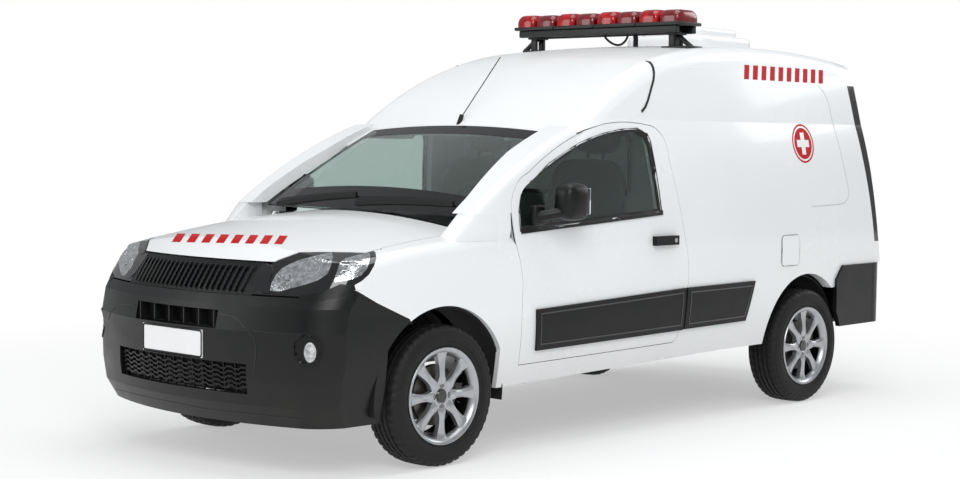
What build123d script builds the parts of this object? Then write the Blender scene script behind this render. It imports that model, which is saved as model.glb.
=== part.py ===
"""High-roof box-van ambulance: a small front-wheel-drive van with a moulded high box behind its cab.

Frame: millimetres, front of the vehicle at -Y, its left side at +X, +Z up, ground at z = 0,
origin on the ground midway between the bumpers. Outlines in side view are lists of (y, z),
plan outlines are lists of (x, y).
"""
from build123d import *
import math
import os

os.makedirs("parts", exist_ok=True)

# ---------------------------------------------------------------- driving dimensions
LENGTH = 4384.0            # over the bumpers
FRONT_OVERHANG = 812.0     # front bumper to front axle
WHEELBASE = 2717.0
TYRE_D = 603.0             # 185/60 R15
TYRE_W = 185.0
TRACK = 1424.0             # between wheel centre planes
Y_FRONT = -LENGTH / 2
Y_REAR = LENGTH / 2
Y_FA = Y_FRONT + FRONT_OVERHANG
Y_RA = Y_FA + WHEELBASE
Z_AX = TYRE_D / 2
X_WHEEL = TRACK / 2

HALF_WIDTH = 820.0         # widest, at the waist amidships
PLAN_R = 60000.0           # the sides bow in plan with this radius
Z_FLOOR = 420.0            # top of the floor pan
WALL = 55.0                # side wall, door and roof thickness
SKIN = 20.0                # outer skin of a door, ahead of its inset inner shell
GAP = 6.0                  # shut lines
FIT = 0.3                  # clearance between curved pieces that seat on each other
DOOR_STEP = 17.0           # the door's inner shell is this much smaller than its skin all round

Z_ROOF = 1886.0            # crown of the box roof, at the centre line
Y_ROOF = 1100.0            # where the box roof is highest
ROOF_R = 6560.0            # lengthwise radius of the box roof
Y_FAIRING = 520.0          # the cab fairing runs from the windscreen's top edge up to here
WS_TOP = (-510.0, 1446.0)  # windscreen, top edge at the centre line
WS_BASE = (-1190.0, 1046.0)
WS_CLEAR = 30.0             # bonnet's rear edge to the windscreen's foot
WS_RISE = 22.0             # bulge of the windscreen lengthwise
WS_CROSS_R = 7000.0
WS_HALF_TOP = 590.0
PILLAR_RISE = 34.0         # bulge of the windscreen pillars lengthwise
PILLAR_CREST = 10.0        # the pillars' chord lies this far over the glass's chord
PILLAR_SHOULDER = 38.0
GLASS = 5.0
WIPER_DEEP = 16.0

CROWN_R = 10000.0          # cross radius of the roofs
BOX_SHOULDER = 88.0        # radius between side and roof
BONNET_NOSE = (-2130.0, 905.0)
BONNET_RISE = 28.0
BONNET_CROSS_R = 3300.0
FENDER_SHOULDER = 62.0
WIDE = 1000.0              # half-width of cutting blocks
BONNET_REAR = (-1150.0, 1052.0)

BONNET_HINGE = (-1130.0, 1010.0)
KINGPIN_TOP = (540.0, 830.0)
KINGPIN_FOOT = (632.0, 290.0)

# half-width of the body against height, as arcs through three (x, z) points
SIDE_ARCS = [
    ((762, 200), (806, 430), (819, 660)),
    ((819, 660), (812, 1040), (742, 1480)),
    ((742, 1480), (706, 1700), (660, 1950)),
]


def arc_circle(a, m, b):
    """Centre and radius of the circle through three points of a plane."""
    (x1, y1), (x2, y2), (x3, y3) = a, m, b
    d = 2 * (x1 * (y2 - y3) + x2 * (y3 - y1) + x3 * (y1 - y2))
    s1, s2, s3 = x1 * x1 + y1 * y1, x2 * x2 + y2 * y2, x3 * x3 + y3 * y3
    cx = (s1 * (y2 - y3) + s2 * (y3 - y1) + s3 * (y1 - y2)) / d
    cy = (s1 * (x3 - x2) + s2 * (x1 - x3) + s3 * (x2 - x1)) / d
    return cx, cy, math.hypot(x1 - cx, y1 - cy)


def half_width(z, y=0.0):
    """Half-width of the body at height z and station y."""
    scale = HALF_WIDTH / 820.0
    for a, m, b in SIDE_ARCS:
        if z <= b[1] or b[1] == SIDE_ARCS[-1][2][1]:
            cx, cz, r = arc_circle(a, m, b)
            return scale * (cx + math.sqrt(r * r - (z - cz) ** 2)) - y * y / (2 * PLAN_R)


def shoulder(corner, down, inward, radius):
    """Points of the arc that rounds a corner: foot, middle and top, tangent to both unit directions."""
    half = math.acos(down[0] * inward[0] + down[1] * inward[1]) / 2
    run = radius / math.tan(half)
    bx, bz = down[0] + inward[0], down[1] + inward[1]
    b = math.hypot(bx, bz)
    mid = radius / math.sin(half) - radius
    foot = (corner[0] + run * down[0], corner[1] + run * down[1])
    top = (corner[0] + run * inward[0], corner[1] + run * inward[1])
    return foot, (corner[0] + mid * bx / b, corner[1] + mid * bz / b), top


NOSE_R = 1700.0            # plan radius of the bumper's face
NOSE_FLARE = 0.03          # the nose's flanks open rearwards, outside the fenders
# stations of the nose: z, y at the centre line, plan radius of its corners
NOSE = [(180, -2105, 200), (300, -2178, 210), (400, -2191, 218), (600, -2192, 220), (700, -2172, 220),
        (780, -2125, 215), (830, -2092, 210), (880, -2048, 205), (920, -1996, 200), (955, -1938, 200),
        (985, -1872, 200), (1100, -1600, 200)]


def nose_section(z, y_front, radius, inset=0.0):
    """Plan section of the nose at height z: a bowed face, round corners and straight flanks."""
    w = half_width(min(z, 900), -1750) + 3 - inset
    y_front = y_front + inset
    y_edge = y_front + w * w / (2 * NOSE_R)
    slope = w / NOSE_R
    flat = math.hypot(1, slope)
    foot, mid, top = shoulder((w, y_edge), (0, 1), (-1 / flat, -slope / flat), radius - inset * 0.6)
    back = -700
    w_back = w + NOSE_FLARE * (back - foot[1])
    edges = [
        Line((w_back, back), foot),
        ThreePointArc(foot, mid, top),
        ThreePointArc(top, (0, y_front), (-top[0], top[1])),
        ThreePointArc((-top[0], top[1]), (-mid[0], mid[1]), (-foot[0], foot[1])),
        Line((-foot[0], foot[1]), (-w_back, back)),
        Line((-w_back, back), (w_back, back)),
    ]
    return Pos(0, 0, z) * make_face(Curve() + edges)


def side_prism(outline, x0, x1):
    """Solid between x0 and x1 whose side view is the given (y, z) face."""
    return Pos(x0, 0, 0) * extrude(Plane.YZ * outline, amount=x1 - x0)


def plan_prism(outline, z0, z1):
    return Pos(0, 0, z0) * extrude(outline, amount=z1 - z0)


def poly(*points):
    return make_face(Polyline(*points, close=True))


def block(x0, x1, y0, y1, z0, z1):
    return Pos((x0 + x1) / 2, (y0 + y1) / 2, (z0 + z1) / 2) * Box(x1 - x0, y1 - y0, z1 - z0)


def mirrored(shape):
    return mirror(shape, about=Plane.YZ)


def rod(p0, p1, r):
    """Round bar between two points."""
    path = Vector(*p1) - Vector(*p0)
    plane = Plane(origin=p0, z_dir=path.normalized())
    return extrude(plane * Circle(r), amount=path.length)


def biggest(shape):
    """The largest solid of a cut, without its crumbs."""
    return max(shape.solids(), key=lambda body: body.volume)


def keep(name, shape):
    export_step(shape, "parts/" + name + ".step")


def both(name, left):
    keep(name + "_left", left)
    keep(name + "_right", mirrored(left))


def crowned(p0, p1, rise, cross_r, lower=0.0, depth=700.0, over=2.5, half=950.0):
    """Solid under a surface from p0 to p1 (y, z) that bulges by rise and bows across with cross_r."""
    dy, dz = p1[0] - p0[0], p1[1] - p0[1]
    chord = math.hypot(dy, dz)
    long_r = (chord / 2) ** 2 / (2 * rise) + rise / 2
    ny, nz = -dz / chord, dy / chord
    cy = (p0[0] + p1[0]) / 2 - ny * (long_r - rise)
    cz = (p0[1] + p1[1]) / 2 - nz * (long_r - rise)
    plane = Plane((0, cy, cz), x_dir=(1, 0, 0), z_dir=(0, -nz, ny))
    sag = half * half / (2 * cross_r)
    top, foot = long_r - lower, long_r - depth
    face = make_face(Curve() + [
        ThreePointArc((half, top - sag), (0, top), (-half, top - sag)),
        Line((-half, top - sag), (-half, foot)),
        Line((-half, foot), (half, foot)),
        Line((half, foot), (half, top - sag)),
    ])
    span = math.degrees(math.asin(chord / 2 / long_r)) + over
    profile = (plane * face).rotate(Axis((0, cy, cz), (1, 0, 0)), span)
    return revolve(profile, axis=Axis((0, cy, cz), (-1, 0, 0)), revolution_arc=2 * span)


def flanks(inset=0.0):
    """Solid between the two sides, each bowed in plan about a far upright axis."""
    edges = []
    for row in SIDE_ARCS:
        edges.append(ThreePointArc(*[(x * HALF_WIDTH / 820 - inset, z) for x, z in row]))
    foot, top = edges[0] @ 0, edges[-1] @ 1
    middle = -2 * HALF_WIDTH
    edges += [Line(top, (middle, top.Y)), Line((middle, top.Y), (middle, foot.Y)), Line((middle, foot.Y), foot)]
    profile = Plane.XZ * make_face(Curve() + edges)
    axis = Axis((HALF_WIDTH - PLAN_R, 0, 0), (0, 0, 1))
    half_angle = math.degrees(math.asin(0.55 * LENGTH / PLAN_R))
    wedge = revolve(profile.rotate(axis, -half_angle), axis=axis, revolution_arc=2 * half_angle)
    return wedge & mirrored(wedge)


def roof_arc_point(y):
    """Point of the box roof's centre line at station y."""
    return (y, Z_ROOF - ROOF_R + math.sqrt(ROOF_R ** 2 - (y - Y_ROOF) ** 2))


def rise_of(p0, p1, slope_end):
    """Bulge of the arc from p0 to p1 that ends with the given slope angle."""
    chord = math.hypot(p1[0] - p0[0], p1[1] - p0[1])
    turn = math.atan2(p1[1] - p0[1], p1[0] - p0[0]) - slope_end
    return chord / 2 * math.tan(turn / 2)


def rounded(body, radius):
    """The body with its two long upper edges rounded."""
    if radius <= 0:
        return body
    edges = [e for e in body.edges() if abs(e.center().X) > 500 and e.length > 500
             and e.center().Z > 700 and abs((e % 0.5).Y) > 0.5]
    zs = max(e.center().Z for e in edges)
    return fillet([e for e in edges if e.center().Z > zs - 60], radius)


def upper_body(inset=0.0):
    """Cab and box above the sills, without the tail's lean: three crowned roofs on common flanks."""
    sides = flanks(inset)
    start, end = roof_arc_point(Y_FAIRING), roof_arc_point(Y_REAR + 60)
    slope = math.asin((Y_ROOF - Y_FAIRING) / ROOF_R)
    chord = math.hypot(end[0] - start[0], end[1] - start[1])
    box_rise = ROOF_R - math.sqrt(ROOF_R ** 2 - chord ** 2 / 4)
    pillar_foot = (WS_BASE[0] - 60, WS_BASE[1] + PILLAR_CREST)
    # box and fairing meet tangent on the plane square to both roofs
    joint = Pos(0, start[0], start[1]) * Rot(math.degrees(slope), 0, 0)
    slabs = [
        (crowned(start, end, box_rise, CROWN_R, inset, 1750, 3), BOX_SHOULDER,
         joint * block(-WIDE, WIDE, 0, 2500, -2600, 500), 0, Y_REAR + 60),
        (crowned(WS_TOP, start, rise_of(WS_TOP, start, slope), CROWN_R, inset, 1700, 40), BOX_SHOULDER,
         joint * block(-WIDE, WIDE, -2500, 0, -2600, 500), WS_TOP[0], Y_REAR),
        (crowned(pillar_foot, (WS_TOP[0], WS_TOP[1] + PILLAR_CREST), PILLAR_RISE, 2 * CROWN_R, inset, 1250, 17),
         PILLAR_SHOULDER, None, WS_BASE[0] - 60, WS_TOP[0]),
    ]
    body = None
    for crown, radius, side_of_joint, y0, y1 in slabs:
        part = rounded(crown & sides, radius if inset == 0 else 0)
        if side_of_joint is not None:
            part = part & side_of_joint
        part = part & block(-WIDE, WIDE, y0, y1, 215, 2000)
        body = part if body is None else body + part
    return body


def front_body(inset=0.0):
    """Nose, bonnet and fenders as one form."""
    crown = crowned(BONNET_NOSE, BONNET_REAR, BONNET_RISE, BONNET_CROSS_R, inset, 950, 7)
    body = rounded(crown & flanks(inset), FENDER_SHOULDER if inset == 0 else 0)
    body = body & block(-WIDE, WIDE, -2290, -850, 215, 1200)
    nose = loft([nose_section(z, y, r, inset) for z, y, r in NOSE], ruled=True)
    return body & nose


# ---------------------------------------------------------------- outlines
def door_outline():
    return make_face(Curve() + [
        Line((-922, 391), (150, 408)),
        ThreePointArc((150, 408), (190, 424), (207, 462)),
        ThreePointArc((207, 462), (268, 720), (241, 895)),
        Line((241, 895), (146, 1300)),
        ThreePointArc((146, 1300), (115, 1410), (20, 1456)),
        ThreePointArc((20, 1456), (-140, 1468), (-300, 1458)),
        ThreePointArc((-300, 1458), (-570, 1383), (-860, 1236)),
        ThreePointArc((-860, 1236), (-955, 1170), (-986, 1085)),
        ThreePointArc((-986, 1085), (-974, 970), (-938, 850)),
        Line((-938, 850), (-920, 755)),
        Line((-920, 755), (-922, 391)),
    ])


def window_outline():
    return make_face(Curve() + [
        Line((-930, 985), (51, 1046)),
        Line((51, 1046), (14, 1372)),
        ThreePointArc((14, 1372), (-14, 1421), (-75, 1434)),
        ThreePointArc((-75, 1434), (-320, 1408), (-540, 1345)),
        ThreePointArc((-540, 1345), (-720, 1268), (-860, 1190)),
        ThreePointArc((-860, 1190), (-915, 1145), (-934, 1080)),
        Line((-934, 1080), (-930, 985)),
    ])


Y_BULKHEAD = 300.0
SEAM = [(-143, 1440), (-143, 1472), (-17, 1516), (42, 1574), (101, 1671), (153, 1800), (453, 1880),
        (453, 2000)]


def rear_plan():
    """Plan of the tail: a bowed rear face with round corners."""
    y_side = 2105.0
    return make_face(Curve() + [
        Line((WIDE, -1400), (WIDE, y_side - 90)),
        Line((WIDE, y_side - 90), (830, y_side - 90)),
        ThreePointArc((830, y_side - 90), (795, y_side - 25), (730, y_side + 8)),
        ThreePointArc((730, y_side + 8), (0, y_side + 70), (-730, y_side + 8)),
        ThreePointArc((-730, y_side + 8), (-795, y_side - 25), (-830, y_side - 90)),
        Line((-830, y_side - 90), (-WIDE, y_side - 90)),
        Line((-WIDE, y_side - 90), (-WIDE, -1400)),
        Line((-WIDE, -1400), (WIDE, -1400)),
    ])


REAR_LEAN = 0.184


def rear_cut(inset=0.0):
    """Everything ahead of the leaning rear face."""
    face = Pos(0, 101 - inset, 150) * rear_plan()
    return extrude(face, amount=1800 * math.hypot(1, REAR_LEAN), dir=(0, -REAR_LEAN, 1))


def circle_yz(y, z, r):
    return Pos(y, z) * Circle(r)


ARCH_R = 383.0
FRONT_ARCH = (Y_FA - 6, Z_AX - 2)
REAR_ARCH = (Y_RA - 8, Z_AX + 3)
Z_SHOULDER = 1740.0        # the box's roof cap begins here
Z_COWL = 1062.0            # foot of the windscreen pillars
X_BONNET = 702.0           # shut line of bonnet and fender
FRONT_WALL = 24.0
LAMP_IN = 412.0            # inner edge of the headlamps, and half the grille
Z_GRILLE_TOP = 868.0
PLATE_HALF, PLATE_Y, PLATE_Z = 200.0, -2176.0, (475.0, 590.0)
FOG_R = 56.0
TUB_R, TUB_IN = 372.0, 554.0   # rear wheel tubs: outer radius and inboard face
Z_SPLIT = 716.0            # top of the rear bumper


def arch_outline(y, z, front, back):
    """Wheel arch: a circle whose flanks drop straight at the given stations."""
    return circle_yz(y, z, ARCH_R) & (Pos((front + back) / 2, z) * Rectangle(back - front, 900))


def bumper_outline():
    """Side view of the front bumper, up to its shut line with bonnet, lamp and fender."""
    return poly((-2300, 100), (-2300, 738), (-1985, 742), (-1900, 786), (-1764, 717), (-1586, 641),
                (-1540, 560), (-1600, 100))


def lamp_outline():
    return poly((-2300, 744), (-1985, 748), (-1900, 790), (-1866, 787), (-1725, 820), (-1700, 885),
                (-1702, 936), (-1760, 1000), (-2300, 1000))


def bonnet_plan():
    return make_face(Curve() + [
        Line((X_BONNET, -1150), (X_BONNET, -1745)),
        Line((X_BONNET, -1745), (425, -2010)),
        ThreePointArc((425, -2010), (0, -2075), (-425, -2010)),
        Line((-425, -2010), (-X_BONNET, -1745)),
        Line((-X_BONNET, -1745), (-X_BONNET, -1150)),
        ThreePointArc((-X_BONNET, -1150), (0, -1212), (X_BONNET, -1150)),
    ])


def gate_plan(grow=0.0):
    """Plan of the windscreen opening."""
    right = [(WS_HALF_TOP + grow, WS_TOP[0] + grow), (603 + grow, -800), (672 + grow, -1125), (690 + grow, -1500)]
    return poly(*right, *[(-x, y) for x, y in reversed(right)])


def outline_offset(face, amount):
    return offset(face, amount, kind=Kind.INTERSECTION)


# ---------------------------------------------------------------- white body
def cab_and_box():
    """White panels of cab and box with the windscreen; returns the outer form and its walls."""
    ws = crowned(WS_BASE, WS_TOP, WS_RISE, WS_CROSS_R)
    over_glass = (block(-WIDE, WIDE, -1450, WS_TOP[0], 900, 1700) - ws) & plan_prism(gate_plan(), 850, 1750)
    outer = (upper_body() - over_glass) & rear_cut()
    inner = upper_body(WALL) & rear_cut(WALL)
    ring = outer - inner
    door_hole = side_prism(door_outline(), -WIDE, WIDE)
    arches = side_prism(arch_outline(*REAR_ARCH, 900, 1612), -WIDE, WIDE)
    cab = side_prism(poly((-1400, Z_COWL), (-500, Z_COWL), *SEAM, (-1400, 2000)), -WIDE, WIDE)
    lower = side_prism(poly((-925, 306), (570, 341), (1000, 341), (1100, 341), (1100, 600), (1600, 600),
                            (1668, Z_SPLIT),
                            (2400, Z_SPLIT), (2400, 2050), (-925, 2050)), -WIDE, WIDE)
    walls = (ring & lower) - door_hole - cab
    tail = side_prism(poly((2160 - WALL, 100), (2160 - WALL - REAR_LEAN * 1950, 2050), (2500, 2050),
                           (2500, 100)), -WIDE, WIDE)
    roof_cut = block(-WIDE, WIDE, -1400, 2400, Z_SHOULDER, 2050)
    side = (walls - roof_cut - tail) & block(0, WIDE, -1400, 2400, 200, 2050)
    both("side_panel", biggest(side - arches))
    keep("box_roof", (walls & roof_cut) - tail)
    opening = plan_prism(gate_plan(-38), 850, 1750) & block(-WIDE, WIDE, -1450, WS_TOP[0] - 42, 900, 1700)
    cab_roof = (ring & cab) - door_hole - opening
    bed = plan_prism(gate_plan(-10), 850, 1750) & block(-WIDE, WIDE, -1450, WS_TOP[0] - 10, 900, 1700)
    sheet = (ws - Pos(0, 0, -GLASS * 1.18) * ws) & block(-WIDE, WIDE, -1450, -400, 900, 1700)
    pane = sheet & plan_prism(gate_plan(-10 - FIT), 850, 1750)
    pane = pane & block(-WIDE, WIDE, -1185, WS_TOP[0] - 10 - FIT, 900, 1700)
    pane = biggest(pane - plan_prism(outline_offset(bonnet_plan(), WS_CLEAR), 850, 1750))
    cab_roof = cab_roof - (bed & (ws - Pos(0, 0, -GLASS * 1.18 - FIT) * ws))
    keep("cab_roof", biggest(cab_roof))
    keep("windscreen", pane)
    over = crowned(WS_BASE, WS_TOP, WS_RISE, WS_CROSS_R, -WIPER_DEEP) - crowned(WS_BASE, WS_TOP, WS_RISE, WS_CROSS_R, -FIT)
    arms = [poly((-575, -1150), (-570, -1124), (-60, -1098), (-62, -1108)),
            poly((-15, -1156), (-10, -1128), (560, -1091), (558, -1101))]
    keep("wipers", over & (plan_prism(arms[0], 950, 1300) + plan_prism(arms[1], 950, 1300)))
    return outer, inner, ring & tail


def doors(outer):
    """Cab doors: a skin over a smaller inner shell, window frame, glass, belt moulding and trim."""
    left = block(300, WIDE, -1400, 700, 200, 1700)
    skin_in, deep_in = upper_body(SKIN) & left, upper_body(WALL) & left
    glass_in, glass_out = upper_body(SKIN - 8 + GLASS) & left, upper_body(SKIN - 8) & left
    outline, window = door_outline(), window_outline()

    def across(face):
        return side_prism(face, 310, WIDE - 10)

    skin = ((outer & left) - skin_in) & across(outline_offset(outline, -GAP / 2))
    core = (skin_in - deep_in) & across(outline_offset(outline, -GAP / 2 - DOOR_STEP))
    cavity = across(outline_offset(window, 14)) & glass_out
    both("door", (skin + core) - across(window) - cavity)
    both("door_glass", (glass_out - glass_in) & across(outline_offset(window, 14 - 2 * FIT)))


def front_end():
    front, shell_in = front_body(), front_body(FRONT_WALL)
    ring = front - shell_in
    arch = side_prism(arch_outline(*FRONT_ARCH, -1700, -1046), -WIDE, WIDE)
    bumper = side_prism(bumper_outline(), -WIDE, WIDE)
    lamp = side_prism(lamp_outline(), LAMP_IN, WIDE)
    lamps = lamp + mirrored(lamp)
    lip_z, lip_x = Z_GRILLE_TOP + GAP, LAMP_IN - GAP / 2
    bonnet_hole = plan_prism(outline_offset(bonnet_plan(), GAP / 2), 700, 1200)
    bonnet_skin = plan_prism(outline_offset(bonnet_plan(), -GAP / 2), lip_z, 1200)
    bonnet_skin += block(-lip_x, lip_x, -2300, -1950, lip_z, 1150)
    door_hole = side_prism(door_outline(), -WIDE, WIDE)
    cab_front = block(-WIDE, WIDE, -1250, -840, Z_COWL - 3, 1300)
    behind = side_prism(poly((-1250, 1066), (-925, 1066), (-925, 306), (-840, 306), (-840, 1300), (-1250, 1300)),
                        -WIDE, WIDE)
    y_pin, z_pin = BONNET_HINGE
    strap = side_prism(poly((-1330, 945), (-1330, 972), (-1180, 975), (y_pin - 12, z_pin + 12),
                            (y_pin + 12, z_pin + 12), (y_pin + 12, z_pin - 12), (-1190, 950)), 594, 606)
    eye = rod((590, y_pin, z_pin), (610, y_pin, z_pin), 6 + FIT)
    strap -= eye
    keep("bonnet", (ring & bonnet_skin) + strap + mirrored(strap))
    fender = ring - bonnet_hole - bumper - lamps - arch - door_hole - behind
    fender = fender & block(X_BONNET - 60, WIDE, -2300, -840, 302, 1200)
    fender = fender - block(0, X_BONNET + 3, -1160, -840, 900, 1200)
    both("fender", biggest(fender))
    deep = front - front_body(120)
    lens = (deep & lamp) - bonnet_hole - side_prism(outline_offset(bumper_outline(), 2), -WIDE, WIDE)
    both("headlamp", biggest(lens))
    face = (ring & bumper) - arch
    intake = block(-272, 272, -2300, -2000, 602, 676)
    grille_low = block(-430, 430, -2300, -2000, 345, 468)
    recess = block(-PLATE_HALF - 3, PLATE_HALF + 3, -2300, PLATE_Y, PLATE_Z[0] - 3, PLATE_Z[1] + 3)
    fog = rod((770, -2170, 545), (640, -1960, 545), FOG_R)
    keep("front_bumper", biggest(face - intake - grille_low - recess - fog - mirrored(fog)))
    keep("number_plate", block(-PLATE_HALF, PLATE_HALF, PLATE_Y - 8, PLATE_Y - FIT, *PLATE_Z))
    fog_lens = (front_body(8) - shell_in) & rod((770, -2170, 545), (640, -1960, 545), FOG_R - FIT)
    keep("fog_lamps", fog_lens + mirrored(fog_lens))
    keep("grille", ring & block(FIT - LAMP_IN, LAMP_IN - FIT, -2300, -1950, 742, Z_GRILLE_TOP))
    return front


DOOR_TOP, DOOR_FOOT = 1690.0, Z_SPLIT + 6
REAR_DOOR_X = 640.0        # hinge line of the rear doors, either side
REAR_DOOR_MEET = -120.0    # the doors meet off centre: the left one is the wider
TAIL_LAMP_IN = 655.0


def rear_bumper_plan(inset=0.0):
    x, y = 802 - inset, Y_REAR - inset
    return make_face(Curve() + [
        Line((x + 12, 1560), (x, 1980)),
        ThreePointArc((x, 1980), (x - 27, y - 117), (x - 102, y - 72)),
        ThreePointArc((x - 102, y - 72), (0, y), (-x + 102, y - 72)),
        ThreePointArc((-x + 102, y - 72), (-x + 27, y - 117), (-x, 1980)),
        Line((-x, 1980), (-x - 12, 1560)),
        Line((-x - 12, 1560), (x + 12, 1560)),
    ])


def leaf_zone(x0, x1, foot, top):
    """Room of a rear door: its head and foot run square to the leaning hinge line."""
    rise = REAR_LEAN * 400
    return side_prism(poly((1718, foot - rise), (2518, foot + rise), (2344, top + rise), (1544, top - rise)),
                      x0, x1)


def tail_end(tail_ring):
    """Rear wall with its two doors, tall lamps and bumper."""
    door_x = leaf_zone(-REAR_DOOR_X, REAR_DOOR_X, DOOR_FOOT, DOOR_TOP)
    upper = tail_ring & block(-WIDE, WIDE, 1700, 2400, Z_SPLIT, 2050)
    lamps = side_prism(poly((2018, 835), (1868, 1695), (2400, 1695), (2400, 835)), TAIL_LAMP_IN, WIDE)
    lamps = lamps + mirrored(lamps)
    keep("tail_lamps", upper & lamps)
    keep("rear_frame", upper - door_x - lamps)
    leaves = tail_ring & leaf_zone(-REAR_DOOR_X + GAP, REAR_DOOR_X - GAP, DOOR_FOOT + GAP, DOOR_TOP - GAP)
    keep("rear_door_left", leaves & block(REAR_DOOR_MEET + GAP / 2, WIDE, 1800, 2400, 0, 2000))
    keep("rear_door_right", leaves & block(-WIDE, REAR_DOOR_MEET - GAP / 2, 1800, 2400, 0, 2000))
    shell = plan_prism(rear_bumper_plan(), 385, Z_SPLIT)
    shell -= plan_prism(rear_bumper_plan(26), 300, Z_SPLIT - 20)
    shell -= block(-770, 770, 1500, 1990, 300, 800)
    wings = side_prism(poly((1605, 300), (1605, 640), (1668, Z_SPLIT - FIT), (2300, Z_SPLIT - FIT), (2300, 300)),
                       -WIDE, WIDE)
    wheel_room = side_prism(circle_yz(Y_RA, Z_AX, TYRE_D / 2 + 14), -WIDE, WIDE)
    keep("rear_bumper", (shell & wings) - wheel_room)


def floor_and_structure():
    fitted = upper_body(WALL + FIT)
    well = side_prism(circle_yz(*REAR_ARCH, TUB_R + FIT), TUB_IN - FIT, WIDE)
    floor = fitted & block(-WIDE, WIDE, -1000, 2055, Z_FLOOR - 22, Z_FLOOR)
    y_joint = Y_BULKHEAD + 25
    keep("floor_pan", floor & block(-WIDE, WIDE, -1100, y_joint, 300, 500))
    keep("load_floor", (floor & block(-WIDE, WIDE, y_joint + FIT, 2200, 300, 500)) - well - mirrored(well))
    tub = side_prism(circle_yz(*REAR_ARCH, TUB_R), TUB_IN, WIDE) - side_prism(circle_yz(*REAR_ARCH, TUB_R - 6),
                                                                              TUB_IN + 6, WIDE)
    tub = tub & fitted & block(0, WIDE, 800, 1900, Z_FLOOR - 40, 900)
    keep("wheel_tubs", tub + mirrored(tub))
    bulkhead = fitted & block(-WIDE, WIDE, Y_BULKHEAD, Y_BULKHEAD + 25, Z_FLOOR, 2000) & rear_cut(WALL + 2)
    keep("bulkhead", bulkhead)
    firewall = block(-738, 738, -1020, -1000, 400, 900) + block(-690, 690, -1020, -1000, 900, 984)
    rails = block(395, 440, -2050, -1020, 440, 520) + block(-440, -395, -2050, -1020, 440, 520)
    cradle = block(-440, 440, -2050, -2015, 330, 400) + block(-440, -395, -2050, -2015, 400, 440)
    cradle += block(395, 440, -2050, -2015, 400, 440)
    walls = block(425, 440, -1700, -1020, 520, 800) + block(-440, -425, -1700, -1020, 520, 800)
    towers = block(425, 600, -1440, -1320, 800, 822) + block(-600, -425, -1440, -1320, 800, 822)
    body = firewall + rails + cradle + walls + towers
    for sx in (1, -1):
        body -= rod((sx * KINGPIN_FOOT[0], Y_FA, KINGPIN_FOOT[1]),
                    (sx * (2 * KINGPIN_TOP[0] - KINGPIN_FOOT[0]), Y_FA, 2 * KINGPIN_TOP[1] - KINGPIN_FOOT[1]), 10.4)
    for sx in (1, -1):
        pin = rod((sx * 590, *BONNET_HINGE), (sx * 625, *BONNET_HINGE), 6)
        post = block(sx * 618 - 7, sx * 618 + 7, BONNET_HINGE[0] - 10, -1012, 975, BONNET_HINGE[1] + 8)
        body += pin + post
    keep("front_structure", body)
    keep("engine_block", block(-330, 180, -1860, -1330, 440, 800))


def wheel(x, y, sign):
    """Tyre and rim about the axle at (x, y); sign is +1 on the left side."""
    tyre = make_face(Curve() + [
        Line((-80, 190 + FIT), (-80, 206)),
        ThreePointArc((-80, 206), (-TYRE_W / 2, 248), (-78, 291)),
        ThreePointArc((-78, 291), (-73, 297), (-66, 299)),
        ThreePointArc((-66, 299), (0, TYRE_D / 2), (66, 299)),
        ThreePointArc((66, 299), (73, 297), (78, 291)),
        ThreePointArc((78, 291), (TYRE_W / 2, 248), (80, 206)),
        Line((80, 206), (80, 190 + FIT)),
        Line((80, 190 + FIT), (58, 190 + FIT)),
        Line((58, 190 + FIT), (66, 240)),
        ThreePointArc((66, 240), (0, 286), (-66, 240)),
        Line((-66, 240), (-58, 190 + FIT)),
        Line((-58, 190 + FIT), (-80, 190 + FIT)),
    ])
    rim = poly((-88, 206), (-80.3, 206), (-80.3, 190), (80.3, 190), (80.3, 206), (88, 206), (88, 199),
               (84, 182), (-84, 182), (-88, 199))
    flip = 1 if sign > 0 else -1
    body = revolve(Plane.XZ * rim, axis=Axis.X)
    hub = poly((0, 22), (0, 62), (62, 62), (70, 40), (70, 0), (40, 0), (40, 22))
    body += revolve(Plane.XZ * hub, axis=Axis.X)
    disc = poly((6, 60), (6, 130), (26, 130), (26, 60))
    body += revolve(Plane.XZ * disc, axis=Axis.X)
    spoke = Pos(46, 0, 0) * extrude(Plane.YZ * poly((-24, 40), (-15, 120), (-22, 186), (22, 186), (15, 120),
                                                    (24, 40)), amount=24)
    for i in range(8):
        body += spoke.rotate(Axis.X, i * 45)
    tyre_body = revolve(Plane.XZ * tyre, axis=Axis.X)
    if flip < 0:
        body, tyre_body = mirrored(body), mirrored(tyre_body)
    place = Pos(x * flip, y, Z_AX)
    return place * tyre_body, place * body


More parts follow.
